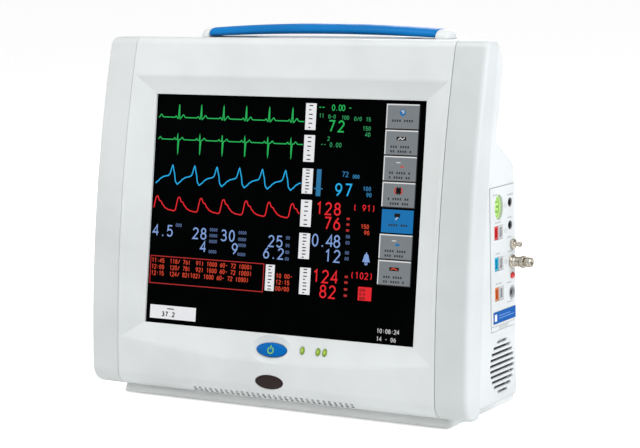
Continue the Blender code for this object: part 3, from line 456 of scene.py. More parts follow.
def on_panel(x, z):
    """Local z points out of the sloping panel, local y up it."""
    y = PANEL_TOP[0] + PANEL_RUN_Y * (z - PANEL_TOP[1]) / PANEL_RUN_Z
    turn = Matrix.Rotation(atan2(-PANEL_RUN_Z, -PANEL_RUN_Y), 4, "X")
    return Matrix.Translation((x, y, z)) @ turn


def on_front(x, z):
    """Local z points out of the bowed front face."""
    turn = Matrix.Rotation(pi / 2 - atan(slope(FRONT_BOW, z)), 4, "X")
    return Matrix.Translation((x, bow(FRONT_BOW, z), z)) @ turn


BUTTON = on_panel(0.0, -128.7)
BUTTON_A, BUTTON_B = 17.4, 6.85          # half axes
LEDS = (("led_lens_mains", 35.5), ("led_lens_battery_a", 53.3), ("led_lens_battery_b", 60.8))
LED_Z, LED_A, LED_B = -126.8, 2.5, 3.9
WINDOW = on_front(0.0, -160.0)
WINDOW_A, WINDOW_B = 16.0, 6.8


# ---------------------------------------------------------------- materials
def fill(tree, node, values):
    """Sets or links a node's inputs."""
    for key, value in values.items():
        if isinstance(value, bpy.types.NodeSocket):
            tree.links.new(value, node.inputs[key])
        else:
            node.inputs[key].default_value = value


def add_node(tree, kind, values={}, **settings):
    node = tree.nodes.new("ShaderNode" + kind)
    for key, value in settings.items():
        setattr(node, key, value)
    fill(tree, node, values)
    return node


def new_material(name):
    material = bpy.data.materials.new(name)
    material.use_nodes = True
    tree = material.node_tree
    return material, tree, tree.nodes["Principled BSDF"]


def mixed(tree, factor, a, b):
    a, b = (c if isinstance(c, bpy.types.NodeSocket) else (*c, 1.0) for c in (a, b))
    return add_node(tree, "Mix", {0: factor, 6: a, 7: b}, data_type="RGBA").outputs[2]


def object_coords(tree):
    return add_node(tree, "TexCoord").outputs["Object"]


def noise(tree, scale, detail=2.0, rough=0.5, stretch=None):
    coords = object_coords(tree)
    if stretch:
        coords = add_node(tree, "Mapping", {"Scale": stretch, "Vector": coords}).outputs["Vector"]
    return add_node(tree, "TexNoise", {"Scale": scale, "Detail": detail, "Roughness": rough,
                                       "Vector": coords}).outputs["Fac"]


def remap(tree, value, source, target):
    return add_node(tree, "MapRange", {
        "From Min": source[0], "From Max": source[1],
        "To Min": target[0], "To Max": target[1], "Value": value}).outputs["Result"]


def finish(name, colour, rough=0.42, metal=0.0, grain=900.0, bump=0.12, vary=0.05, wear=0.25,
           wear_colour=None, edge=0.0007, coat=0.0, grime=0.10, subsurface=0.0, stretch=None,
           shine=0.5):
    """A moulded or plated finish. grain is the scale of the fine texture, bump its strength and
    stretch its direction; vary is the colour drift, grime the specks, edge the softening radius
    in metres, wear the edge paling and shine the specular level."""
    material, tree, shader = new_material(name)
    lighter = tuple(min(c * (1 + vary), 1.0) for c in colour)
    darker = tuple(c * (1 - vary) for c in colour)
    drift = remap(tree, noise(tree, 11.0, detail=3.0), (0.35, 0.65), (0.0, 1.0))
    base = mixed(tree, drift, darker, lighter)
    specks = noise(tree, 420.0, detail=4.0, rough=0.7)
    specks = remap(tree, specks, (0.62, 0.8), (0.0, grime))
    base = mixed(tree, specks, base, tuple(c * 0.55 for c in colour))
    # Edges show where the softened normal leaves the true one
    soft = add_node(tree, "Bevel", {"Radius": edge}, samples=4).outputs["Normal"]
    true = add_node(tree, "NewGeometry").outputs["Normal"]
    agreement = add_node(tree, "VectorMath", {0: soft, 1: true}, operation="DOT_PRODUCT")
    edges = remap(tree, agreement.outputs["Value"], (0.995, 0.9), (0.0, wear))
    patches = remap(tree, noise(tree, 70.0, detail=3.0), (0.4, 0.62), (0.0, 1.0))
    worn = add_node(tree, "Math", {0: edges, 1: patches}, operation="MULTIPLY").outputs[0]
    paler = wear_colour or tuple(min(c * 1.25 + 0.05, 1.0) for c in colour)
    base = mixed(tree, worn, base, paler)
    broad = remap(tree, noise(tree, 45.0, detail=3.0), (0.3, 0.7), (rough - 0.07, rough + 0.07))
    fine = remap(tree, noise(tree, grain), (0.3, 0.7), (-0.05, 0.05))
    roughness = add_node(tree, "Math", {0: broad, 1: fine}, operation="ADD").outputs[0]
    relief = add_node(tree, "Bump", {
        "Strength": bump, "Distance": 0.00006, "Normal": soft,
        "Height": noise(tree, grain, detail=3.0, rough=0.6, stretch=stretch)})
    fill(tree, shader, {"Base Color": base, "Roughness": roughness, "Metallic": metal,
                        "Specular IOR Level": shine, "Normal": relief.outputs["Normal"]})
    if coat:
        fill(tree, shader, {"Coat Weight": coat, "Coat Roughness": 0.12})
    if subsurface:
        fill(tree, shader, {"Subsurface Weight": subsurface,
                            "Subsurface Radius": (0.002, 0.0015, 0.001)})
    return material


def glow(name, colour, strength):
    """A lit display element: emission broken up by a fine dot pitch."""
    material, tree, shader = new_material(name)
    base = mixed(tree, noise(tree, 120.0), tuple(c * 0.9 for c in colour), colour)
    wave = add_node(tree, "TexWave", {"Scale": 520.0, "Vector": object_coords(tree)},
                    bands_direction="X").outputs["Fac"]
    relief = add_node(tree, "Bump", {"Strength": 0.05, "Distance": 0.00002, "Height": wave})
    fill(tree, shader, {
        "Base Color": (0.01, 0.01, 0.01, 1),
        "Specular IOR Level": 0.06,
        "Emission Color": base,
        "Emission Strength": remap(tree, wave, (0.0, 1.0), (strength * 0.82, strength * 1.1)),
        "Roughness": remap(tree, noise(tree, 300.0), (0.3, 0.7), (0.25, 0.4)),
        "Normal": relief.outputs["Normal"]})
    return material


# Settings shared by families of finishes
PRINTED = dict(bump=0.03, edge=0.0002)
SOCKET = dict(rough=0.33, bump=0.08, vary=0.07, edge=0.0004)
SOCKET_GREY = dict(bump=0.1, vary=0.06, edge=0.0004)

LOOKS = {
    "case": finish("case_white", (0.66, 0.685, 0.685), shine=0.30),
    # Plinth: the case white made lighter, painted light standing in for the floor's bounce onto the
    # plinth's front
    "plinth": finish("plinth_white_painted_bounce_light", (0.77, 0.79, 0.78), shine=0.30),
    "cheek": finish("cheek_grey", (0.61, 0.635, 0.635), shine=0.30),
    "rear": finish("rear_white", (0.634, 0.656, 0.662), rough=0.44, shine=0.25),
    "handle": finish("handle_blue", (0.001, 0.163, 0.470), rough=0.38, grain=1100, bump=0.18,
                     vary=0.08, wear=0.30, wear_colour=(0.03, 0.30, 0.68), edge=0.0012,
                     grime=0.04, shine=0.11),
    "button": finish("button_blue", (0.001, 0.120, 0.410), rough=0.36, bump=0.04, vary=0.08,
                     wear_colour=(0.02, 0.22, 0.55), grime=0.03, shine=0.06),
    "rubber": finish("rubber_black", (0.022, 0.022, 0.023), rough=0.78, bump=0.4, vary=0.2,
                     wear_colour=(0.12, 0.12, 0.12)),
    "dark": finish("dark_plastic", (0.024, 0.024, 0.026), rough=0.36, bump=0.1, vary=0.15,
                   wear_colour=(0.14, 0.14, 0.14)),
    "sheet": finish("sheet_metal", (0.56, 0.57, 0.58), rough=0.36, metal=1.0, grain=600, bump=0.1,
                    stretch=(1, 1, 14), vary=0.06),
    "nickel": finish("nickel_plate", (0.60, 0.55, 0.47), rough=0.24, metal=1.0, grain=700,
                     stretch=(16, 1, 1), vary=0.08, wear_colour=(0.72, 0.58, 0.36), edge=0.0003),
    "steel": finish("screw_steel", (0.52, 0.53, 0.55), rough=0.32, metal=1.0, bump=0.1,
                    vary=0.06, edge=0.0003),
    "board": finish("circuit_board", (0.015, 0.15, 0.06), grain=350, bump=0.35, vary=0.3),
    "green": finish("socket_green", (0.50, 0.74, 0.24), rough=0.34, bump=0.08, vary=0.06,
                    edge=0.0004, subsurface=0.1),
    "green_dark": finish("socket_green_dark", (0.30, 0.52, 0.16), bump=0.08, vary=0.08,
                         edge=0.0003),
    "red": finish("socket_red", (0.66, 0.035, 0.040), **SOCKET),
    "cyan": finish("socket_cyan", (0.008, 0.43, 0.64), **SOCKET),
    "orange": finish("socket_orange", (0.70, 0.19, 0.04), **SOCKET),
    "grey_light": finish("socket_grey_light", (0.50, 0.49, 0.50), **SOCKET_GREY),
    "grey": finish("socket_grey", (0.42, 0.44, 0.46), **SOCKET_GREY),
    "label": finish("label_blue", (0.001, 0.092, 0.36), rough=0.36, shine=0.05, **PRINTED),
    "print": finish("print_white", (0.80, 0.82, 0.84), vary=0.03, **PRINTED),
    "mark_grey": finish("print_grey", (0.36, 0.38, 0.41), rough=0.45, vary=0.06, **PRINTED),
    "cable": finish("ribbon_grey", (0.40, 0.41, 0.43), rough=0.55, grain=500, bump=0.3,
                    stretch=(1, 0.1, 0.1)),
    "cone": finish("cone_paper", (0.035, 0.035, 0.037), rough=0.80, bump=0.6, grain=1500,
                   vary=0.2),
    "window": finish("ir_filter", (0.030, 0.019, 0.019), rough=0.20, bump=0.03, vary=0.15,
                     grime=0.02, shine=0.10),
    "glass": finish("display_glass", (0.0003, 0.0005, 0.0006), rough=0.22, grain=2500, bump=0.02,
                    vary=0.3, grime=0.0, wear=0.0, shine=0.012),
    # Right cheek: the left cheek's grey made darker, painted shade for the less lit right cheek
    "cheek_painted_shade_right": finish("cheek_grey_right_painted_shade", (0.585, 0.612, 0.612), rough=0.40, shine=0.35),
    "film_light": finish("label_pale_blue", (0.16, 0.30, 0.66), shine=0.1, **PRINTED),
    # Grey for the bar behind the vents, painted shade seen through the slots
    "vent_painted_shade": finish("vent_painted_shade_grey", (0.42, 0.43, 0.43), rough=0.6, bump=0.2),
    "lens_deep": finish("lens_green_deep", (0.19, 0.32, 0.025), rough=0.22, bump=0.05, vary=0.12,
                        coat=0.3, grime=0.02, shine=0.3),
}


# ---------------------------------------------------------------- filing pieces
def file_piece(obj, name, look, body="housing", stands_for=None, angle=35.0):
    obj.name = name
    obj.data.name = name
    bm = bmesh.new()
    bm.from_mesh(obj.data)
    for edge in [e for e in bm.edges if not e.link_faces]:
        bm.edges.remove(edge)
    bm.to_mesh(obj.data)
    bm.free()
    obj.data.transform(Matrix.Diagonal((0.001, 0.001, 0.001, 1)) @ Matrix.Translation(SHIFT))
    obj.data.materials.clear()
    obj.data.materials.append(LOOKS[look] if isinstance(look, str) else look)
    obj.data.shade_smooth()
    obj.data.set_sharp_from_angle(angle=radians(angle))
    work.objects.unlink(obj)
    bpy.context.scene.collection.objects.link(obj)
    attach(obj, body)
    if stands_for:
        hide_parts(stands_for)
    modifier = obj.modifiers.new("WeightedNormal", "WEIGHTED_NORMAL")
    modifier.keep_sharp = True


# ---------------------------------------------------------------- front bezel
bezel = outline(front_outline(), -BEZEL_HALF, BEZEL_HALF)
cavity = outline(front_outline(SKIN, back=6.0), -BEZEL_HALF + 2.7, BEZEL_HALF - 2.7)
# Keep material round the display funnel and the button pocket
lip, edge = opening_loop(2.5, 2.0), chamfer_loop(3.0)
beyond = [a + (b - a) * 1.3 for a, b in zip(lip, edge)]
cut(cavity, loft([lip, edge, beyond, flattened(beyond)]))
cut(cavity, placed_box(BUTTON, -28, 28, -14, 10, -7.5, 4.0))
cut(bezel, cavity)

# Display opening with a rounded lip and a slightly hollow chamfer
lip = [Vector((p.x, p.y - 0.45, p.z)) for p in opening_loop(0.35)]
edge = chamfer_loop()
funnel = [opening_loop(depth=9.0), opening_loop(), lip]
for share in (0.12, 0.3, 0.5, 0.7, 0.86, 0.95):
    sink = Vector((0, 0.3 * sin(pi * share), 0))
    funnel.append([a + (b - a) * share + sink for a, b in zip(lip, edge)])
funnel += [chamfer_loop(0.7, 0.10), chamfer_loop(2.0, -0.16), chamfer_loop(3.4, -0.6),
           flattened(chamfer_loop(3.6))]
cut(bezel, loft(funnel))

# Hollow round the button, then the button, lens and window holes
cut(bezel, ball(BUTTON, (0, 0, 2.5), (26.5, 15.6, 5.4), 64, 32))
cut(bezel, oval_rod(BUTTON, 0, BUTTON_A + 0.35, BUTTON_B + 0.35, 30, 64))
holes = [oval_rod(on_panel(x, LED_Z), 0, LED_A + GAP, LED_B + GAP, 12, 32) for _, x in LEDS]
holes.append(oval_rod(WINDOW, 0, WINDOW_A + GAP, WINDOW_B + GAP, 14, 64))
cut(bezel, merged(holes))
vents = []
for i in range(30):
    place = Matrix.Translation((-90.9 + 6.27 * i, 0, -175.0)) @ Matrix.Rotation(radians(12), 4, "Y")
    vents.append(placed_box(place, -1.35, 1.35, -34, -13, -3.4, 2.1))
cut(bezel, merged(vents))
file_piece(bezel, "front_bezel_shell", "case", stands_for="front_bezel", angle=11.0)

# Grey bar behind the vents so that the slots read as openings: a sheet of painted shade that sets the
# tone seen through the slots in place of the shaded inside
vent_painted_shade = box(-95, 95, -22.5, -18.5, -176.5, -171.0)
file_piece(bevel(vent_painted_shade, 0.6), "vent_painted_shade_backing", "vent_painted_shade")

# ---------------------------------------------------------------- cheeks
sections = [(CHEEK_IN, 0.35), (CHEEK_IN + 0.35, 0.0)]            # x, inset
for i in range(13):
    a = radians(90 * i / 12)
    sections.append((CHEEK_OUT - CHEEK_ROUND + CHEEK_ROUND * sin(a), CHEEK_ROUND * (1 - cos(a))))
cheek = loft([[Vector((x, y, z)) for y, z in front_outline(inset)] for x, inset in sections])
cut(cheek, outline(front_outline(SKIN + 4.5, back=6.0), CHEEK_IN + 2.6, CHEEK_OUT - 4.0))
left = mirrored(cheek)
# The right cheek takes the darker copy of the cheek grey, painted shade
file_piece(cheek, "right_cheek_shell", "cheek_painted_shade_right", stands_for="right_cheek")
file_piece(left, "left_cheek_shell", "cheek", stands_for="left_cheek")

# ---------------------------------------------------------------- rear housing
# Back of the flank from the slim upper part down over the shoulder: y, z, share of inset on z
SHOULDER = ((56.15, 143.5, 0.4), (47.7, 103.0, 0.3), (41.3, 86.0, 0.5), (41.7, 77.5, 1.0),
            (44.5, 73.5, 1.0), (REAR_BACK - 4.6, 53.6, 1.0), (REAR_BACK - 1.2, 49.6, 1.0),
            (REAR_BACK, 44.0, 1.0))


def shoulder(inset):
    return [(y - inset, z - inset * share) for y, z, share in SHOULDER]


def seam(low, top, offset, steps):
    heights = [low + (top - 1.5 - low) * i / steps for i in range(steps + 1)]
    return [(bow(SEAM_BOW, z) + offset, z) for z in heights]


def softened(points):
    """Corner cutting, twice."""
    for _ in range(2):
        new = [points[0]]
        for p, q in zip(points, points[1:]):
            for far in (0.22, 0.78):
                near = 0.78 if far == 0.22 else 0.22
                new.append((p[0] * near + q[0] * far, p[1] * near + q[1] * far))
        points = new + [points[-1]]
    return points


def rear_section(inset, top_inset):
    """Outer side profile; the top corner is rounded more than the rest."""
    top, low, back = REAR_TOP - top_inset, REAR_BOTTOM + inset, REAR_BACK - inset
    return seam(low, top, 0.2, 24) + softened(
        [(bow(SEAM_BOW, top) + 0.9, top), (50.0 - inset * 0.4, top),
         (52.8 - inset * 0.6, top - 2.6), (56.0 - inset, top - 9.0), *shoulder(inset),
         (back, low + 6.0), (back, low + 3.0), (back - 3.0, low), (back - 9.0, low)])


def rear_cavity_outline():
    top, low, back = REAR_TOP - SKIN, REAR_BOTTOM + SKIN, REAR_BACK - SKIN
    return seam(low, top, -14.0, 12) + [
        (bow(SEAM_BOW, top) + 1.0, top), (48.0 - SKIN * 0.3, top), (52.8 - SKIN * 0.6, top - 2.6),
        (56.0 - SKIN, top - 8.0), *shoulder(SKIN), (back, low + 3.0), (back - 3.0, low)]


def bulge(inset=0.0):
    """The deep centre of the back; its front is buried in the flank, whose front leans."""
    front_high, front_low = (30.0, -20.0) if inset else (50.0, 0.0)
    back = BULGE_BACK - inset
    half_front, half_back = BULGE_HALF_FRONT - inset, BULGE_HALF_BACK - inset
    low, high = REAR_BOTTOM + inset, REAR_TOP - inset
    bm = bmesh.new()
    bmesh.ops.create_cube(bm, size=2.0)
    for v in bm.verts:
        front = front_high if v.co.z > 0 else front_low
        v.co = Vector((v.co.x * (half_back if v.co.y > 0 else half_front),
                       back if v.co.y > 0 else front, high if v.co.z > 0 else low))
    edges = [e for e in bm.edges if max(v.co.y for v in e.verts) > back - 1]
    bmesh.ops.bevel(bm, geom=edges, offset=11.0 - inset, segments=8, profile=0.5,
                    affect="EDGES", clamp_overlap=True)
    return add(bm)


sections = []                                           # x, inset, top inset
for i in range(15):
    a = radians(90 * i / 14)
    x = REAR_HALF - 7.0 + 7.0 * sin(a)
    over = max(x - (REAR_HALF - 3.2), 0.0) / 3.2
    sections.append((x, 3.2 * (1 - sqrt(max(1 - over ** 2, 0.0))), 7.0 * (1 - cos(a))))
sections = [(-x, inset, top) for x, inset, top in reversed(sections)] + sections
rear = loft([[Vector((x, y, z)) for y, z in rear_section(inset, top)]
             for x, inset, top in sections])
join(rear, bulge())
# Scoop under the handle, on the shell and on its cavity
scoop = Matrix.Translation((0, HANDLE_Y, REAR_TOP + 3.0))
cut(rear, ball(scoop, (0, 0, 0), (110, 27, 26), 64, 40))
inner = outline(rear_cavity_outline(), -REAR_HALF + SKIN, REAR_HALF - SKIN)
join(inner, bulge(SKIN))
cut(inner, ball(scoop, (0, 0, 0), (114.5, 31.5, 30.5), 40, 24))
cut(rear, inner)
cut(rear, box(205, 222, MODULE_Y[0] - GAP, MODULE_Y[1] + GAP, MODULE_Z[0] - 5.3, MODULE_Z[1] + GAP))

# Speaker dish and its slots on the right flank
cut(rear, turned([(0.0, 215.3), (SPEAKER_R - 0.4, 215.3), (SPEAKER_R + 0.9, 216.2),
                  (SPEAKER_R + 0.9, 224.0), (0.0, 224.0)], "x", (0, SPEAKER_Y, SPEAKER_Z), 64))
slots = []
for i in range(10):
    rise = (i - 4.5) * 5.3
    half = sqrt(max((SPEAKER_R - 0.6) ** 2 - rise ** 2, 0)) - 0.8
    z = SPEAKER_Z + rise
    slot = box(206, 224, SPEAKER_Y - half, SPEAKER_Y + half, z - 1.35, z + 1.35)
    slots.append(bevel(slot, 1.1, 3))
cut(rear, merged(slots))

# Round fan grille and upper row of slots in the back, then the window beside the grille
slots = []
for i in range(-3, 4):
    x = FAN_X + i * 7.0
    half = sqrt(27.0 ** 2 - (i * 7.0) ** 2)
    slots.append(bevel(box(x - 1.9, x + 1.9, 126, 140, FAN_Z - half, FAN_Z + half), 1.6, 3))
for i in range(-5, 6):
    slots.append(bevel(box(i * 14.0 - 2.0, i * 14.0 + 2.0, 126, 140, 95, 125), 1.6, 3))
cut(rear, merged(slots))
cut(rear, box(10.0, 110.0, 126, 140, -150.0, -113.0))
drills = [rod("y", (x, 132, z), 2.3, 20, 24) for x, z in STANDOFFS]
drills += [rod("z", (side * HANDLE_SCREW_X, HANDLE_Y, 166), 2.2, 20, 24) for side in (-1, 1)]
cut(rear, merged(drills))
file_piece(rear, "rear_housing_shell", "rear", stands_for="rear_housing", angle=24.0)

# ---------------------------------------------------------------- front controls
button = oval_rod(BUTTON, -4.6, BUTTON_A, BUTTON_B, 7.2, 64)
join(button, ball(BUTTON, (0, 0, -1.25), (BUTTON_A * 0.999, BUTTON_B * 0.999, 2.0), 64, 24))
join(button, oval_rod(BUTTON, -8.75, 20.6, 6.4, 1.7, 48))
file_piece(button, "power_button_cap", "button", "power_button", "power_button")
symbol = ribbon([arc(0, -0.7, 3.1, 3.1, 122, 418, 32), [(0, 4.2), (0, 0.3)]], 1.15, 0.22, 0.60)
symbol.data.transform(BUTTON)
file_piece(symbol, "power_symbol", glow("symbol_green", (0.27, 0.64, 0.10), strength=0.95),
           "power_button")
for name, x in LEDS:
    place = on_panel(x, LED_Z)
    lens = oval_rod(place, -1.4, LED_A, LED_B, 2.8, 32)
    join(lens, ball(place, (0, 0, -0.1), (LED_A * 0.995, LED_B * 0.995, 1.25), 32, 16))
    file_piece(lens, name + "_dome", "lens_deep", stands_for=name)
    glint = ball(place, (0.1, 0.1, 0.45), (LED_A * 0.62, LED_B * 0.62, 0.82), 24, 12)
    file_piece(glint, name + "_lit", glow(name + "_glow", (0.50, 0.72, 0.10), strength=0.90))
window = oval_rod(WINDOW, -1.5, WINDOW_A, WINDOW_B, 2.6, 64)
join(window, ball(WINDOW, (0, 0, -0.4), (WINDOW_A * 0.999, WINDOW_B * 0.999, 0.9), 64, 16))
file_piece(window, "ir_window_lens", "window", stands_for="ir_window")

# ---------------------------------------------------------------- display picture
# On the glass: u across, v up, both in mm from the centre; thin layers stand in front of it.
GLASS_FRONT = 3.0
LAYER = 0.06
glass_y, glass_z = lean(GLASS_FRONT, 0.0)
SCREEN = Matrix(((1, 0, 0, 0), (0, sin(TILT), -cos(TILT), glass_y),
                 (0, cos(TILT), sin(TILT), glass_z), (0, 0, 0, 1)))

LIT = {name: glow("lit_" + name, colour, strength) for name, colour, strength in (
    ("green", (0.012, 0.50, 0.10), 0.95), ("blue", (0.012, 0.42, 0.82), 1.04),
    ("red", (0.86, 0.012, 0.020), 0.95), ("pale", (0.26, 0.42, 0.82), 0.9),
    ("white", (0.80, 0.80, 0.80), 0.85), ("tab", (0.90, 0.905, 0.93), 0.95),
    ("dim_green", (0.02, 0.33, 0.10), 0.9), ("dim_blue", (0.02, 0.20, 0.42), 0.9),
    ("dim_red", (0.50, 0.02, 0.02), 0.9), ("key", (0.205, 0.225, 0.240), 1.0),
    ("key_light", (0.80, 0.81, 0.82), 0.95), ("key_dark", (0.030, 0.032, 0.036), 0.8),
    ("key_blue", (0.002, 0.165, 0.450), 1.0), ("ink", (0.02, 0.02, 0.022), 0.1),
    ("orange", (0.72, 0.055, 0.018), 0.9), ("dim_pale", (0.10, 0.17, 0.36), 0.9))}

# Single-stroke numerals and signs in a box 0.6 wide and 1 high
GLYPHS = {
    "0": [arc(0.3, 0.5, 0.27, 0.5, 0, 360, 20)],
    "1": [[(0.12, 0.8), (0.34, 1.0), (0.34, 0.0)]],
    "2": [arc(0.3, 0.72, 0.27, 0.28, 165, -25) + [(0.02, 0.0), (0.6, 0.0)]],
    "3": [arc(0.28, 0.76, 0.25, 0.24, 150, -90) + arc(0.28, 0.27, 0.30, 0.27, 90, -150, 12)],
    "4": [[(0.46, 0.0), (0.46, 1.0), (0.0, 0.3), (0.62, 0.3)]],
    "5": [[(0.54, 1.0), (0.10, 1.0), (0.06, 0.55)] + arc(0.28, 0.32, 0.30, 0.32, 120, -150, 12)],
    "6": [[(0.46, 1.0), (0.2, 0.72), (0.05, 0.42)] + arc(0.31, 0.31, 0.28, 0.31, 160, -200, 18)],
    "7": [[(0.02, 1.0), (0.58, 1.0), (0.2, 0.0)]],
    "8": [arc(0.3, 0.76, 0.23, 0.24, 0, 360, 16), arc(0.3, 0.27, 0.28, 0.27, 0, 360, 18)],
    "9": [arc(0.29, 0.69, 0.28, 0.31, -20, 340, 18) + [(0.54, 0.5), (0.38, 0.24), (0.14, 0.0)]],
    ".": [[(0.26, 0.03), (0.38, 0.03)]],
    ":": [[(0.26, 0.25), (0.38, 0.25)], [(0.26, 0.7), (0.38, 0.7)]],
    "/": [[(0.05, 0.0), (0.55, 1.0)]],
    "(": [arc(0.5, 0.5, 0.25, 0.6, 120, 240, 8)],
    ")": [arc(0.1, 0.5, 0.25, 0.6, 60, -60, 8)],
    "-": [[(0.1, 0.5), (0.5, 0.5)]],
    " ": [],
}


def written(text, u, v, height, pitch=0.86, wide=1.0):
    """Strokes of a text whose lower left corner is at (u, v); pitch is a share of its height."""
    return [[(u + (x + i * pitch) * height * wide, v + y * height) for x, y in path]
            for i, sign in enumerate(text) for path in GLYPHS[sign]]


def shown(obj, name, look):
    obj.data.transform(SCREEN)
    file_piece(obj, name, LIT[look], angle=60)


def draw(name, look, width, paths, base=0.03):
    shown(ribbon(paths, width, LAYER, base), name, look)


def write(name, look, width, rows, base=0.03):
    """rows: text, u, v, height and optionally pitch and widening."""
    draw(name, look, width, [path for row in rows for path in written(*row)], base)


def paint(name, look, rects, base=0.03, thick=LAYER):
    shown(tile(rects, thick, base), name, look)


BEAT = 26.9                              # mm from one beat to the next
# Electrical traces, centred on the beat: centre, width and height of each hump
HUMPS = {
    "ecg": ((-3.6, 0.9, 1.3), (-1.3, 0.8, -1.2), (0.0, 0.55, 13.2), (1.4, 0.9, -1.4),
            (5.2, 1.5, 2.6)),
    "ecg_low": ((-3.8, 0.9, 1.6), (0.1, 0.42, 8.0), (0.75, 0.5, -15.2), (5.4, 1.4, 2.2)),
}
# Pulse traces, running on from the beat: distance, height
KEYS = {
    "pleth": ((0.0, 0.0), (3.0, 2.2), (6.4, 5.3), (10.0, 7.2), (15.2, 8.3), (17.0, 9.6),
              (20.4, 19.0), (22.6, 12.0), (24.6, 2.6), (BEAT, 0.0)),
    "press": ((0.0, 0.0), (1.6, 0.9), (4.6, 13.4), (6.3, 14.0), (8.6, 9.6), (10.6, 8.9),
              (12.8, 5.6), (16.4, 2.4), (20.5, 0.8), (BEAT, 0.0)),
}


def trace_height(kind, past_mark):
    if kind in HUMPS:
        t = (past_mark + BEAT / 2) % BEAT - BEAT / 2
        return sum(height * exp(-((t - centre) / width) ** 2)
                   for centre, width, height in HUMPS[kind])
    t = past_mark % BEAT
    for (t0, low), (t1, high) in zip(KEYS[kind], KEYS[kind][1:]):
        if t0 <= t <= t1:
            f = (t - t0) / (t1 - t0)
            return low + (high - low) * (3 * f * f - 2 * f * f * f) * 0.6 + (high - low) * f * 0.4


# name, look, kind, left end, baseline, a beat's mark, steps, stroke width
TRACE_END = 20.0
for name, look, kind, start, baseline, mark, steps, width in (
        ("trace_ecg_upper", "green", "ecg", -153.0, 92.4, -128.3, 760, 1.05),
        ("trace_ecg_lower", "green", "ecg_low", -152.6, 70.1, -128.6, 760, 1.05),
        ("trace_pulse", "blue", "pleth", -152.8, 25.2, -126.2, 600, 1.15),
        ("trace_pressure", "red", "press", -153.4, -1.7, -128.6, 600, 1.15)):
    path = []
    for i in range(steps + 1):
        u = start + (TRACE_END - start) * i / steps
        path.append((u, baseline + trace_height(kind, u - mark)))
    draw(name, look, width, [path])

# Tabs beside the channels: u0, u1, v0, v1, number of marks
TABS = ((21.0, 33.0, 84.6, 110.4, 3), (21.0, 33.2, 53.6, 79.6, 3), (21.2, 33.2, 22.8, 47.2, 4),
        (21.4, 33.6, -9.2, 16.8, 3), (21.4, 33.8, -40.4, -15.4, 4),
        (-15.0, -4.6, -74.0, -48.4, 4), (24.4, 36.6, -74.8, -48.8, 4))
paint("channel_tabs", "tab", [tab[:4] for tab in TABS] + [(-151.0, -95.0, -111.0, -97.4)], 0.02)
marks = []
for n, (u0, u1, v0, v1, count) in enumerate(TABS):
    for k in range(count):
        u, v = (u0 + u1) / 2, v0 + (v1 - v0) * (0.5 + k) / count
        half, rise = 2.1, (1.5 if count == 4 else 2.1)
        marks.append([(u - half, v + rise), (u + half, v + rise)])
        marks.append([(u - half, v - rise), (u + (half if (n + k) % 2 else 0.3), v - rise)])
marks += written("37.2", -136.0, -108.2, 4.2, 1.0)
marks.append([(-130.0, -100.6), (-122.0, -100.6)])
draw("channel_tab_marks", "ink", 1.05, marks, base=0.10)

write("numeral_pulse", "green", 1.5, [("72", 48.2, 83.9, 10.2, 1.04)])
write("numeral_saturation", "blue", 1.5, [("97", 59.6, 22.6, 11.2, 0.96)])
write("numeral_pressures", "red", 1.55, [
    ("128", 39.2, 4.0, 11.0, 0.92), ("76", 49.4, -10.0, 11.0, 0.92),
    ("124", 39.6, -61.6, 11.4, 0.90), ("82", 48.2, -76.0, 11.4, 0.90)])
write("numeral_means", "red", 0.9, [
    ("( 91)", 80.4, 9.2, 5.6, 0.92), ("(102)", 81.4, -55.4, 5.8, 0.90)])
write("numeral_ventilation", "pale", 1.4, [
    ("0.48", 36.4, -27.0, 11.0, 0.74), ("12", 51.6, -41.2, 11.0, 0.92),
    ("4.5", -152.6, -27.4, 10.4, 0.84), ("28", -103.6, -28.0, 10.4, 0.92),
    ("30", -69.6, -28.2, 10.4, 0.92), ("25", -13.6, -30.6, 10.4, 0.92),
    ("4", -93.6, -40.8, 10.0), ("9", -55.6, -40.6, 10.0), ("6.2", -18.6, -42.2, 10.0, 0.84)])
write("numeral_segment", "green", 0.9, [("--  0.00 -", 35.6, 104.2, 5.2, 0.72)])
write("small_numerals_green", "dim_green", 0.72, [
    ("11", 36.6, 96.8, 3.6), ("0-0", 47.0, 96.4, 3.4), ("100", 62.0, 95.8, 3.4),
    ("0/0", 76.0, 95.0, 3.4), ("15", 89.0, 94.8, 3.4), ("150", 86.0, 86.0, 3.6),
    ("40", 89.0, 80.2, 3.6), ("-- 0.00", 40.0, 69.0, 4.0), ("2", 47.4, 75.0, 3.6)])
write("small_numerals_blue", "dim_blue", 0.8, [
    ("72", 66.0, 41.0, 4.6), ("100", 90.0, 28.6, 3.6), ("90", 94.0, 22.8, 3.6),
    ("000", 78.0, 40.0, 3.0)])
paint("signal_bar", "dim_blue", [(37.4, 42.6, 21.0, 47.0), (35.2, 44.8, 27.6, 28.8)])
LOG = ("11:45  118/ 76(  91) 1000 60- 72 (000)", "12:00  120/ 78(  92) 1000 60- 72 (000)",
       "12:15  124/ 82(102) 1000 60- 72 (000)")
write("small_numerals_red", "orange", 0.78, [
    ("150", 90.0, -7.4, 3.6), ("90", 94.0, -13.2, 3.6),
    *((row, -152.0, -54.6 - 6.4 * k, 4.0, 0.86, 0.93) for k, row in enumerate(LOG)),
    ("10 00-", -2.6, -60.6, 3.8), ("12:15", -2.6, -66.8, 3.8), ("00/00", -2.6, -73.0, 3.8)])
draw("log_frame", "dim_red", 0.9, [[(-153.6, -75.6), (-17.4, -75.6), (-17.4, -48.2),
                                    (-153.6, -48.2), (-153.6, -75.6)]])
paint("alarm_flag", "red", [(90.6, 105.4, -76.0, -63.0)])
write("alarm_flag_marks", "ink", 0.5, [
    ("000", 92.4, -67.4, 2.6), ("0-0", 92.4, -71.4, 2.6), ("000", 92.4, -75.2, 2.6)], base=0.10)
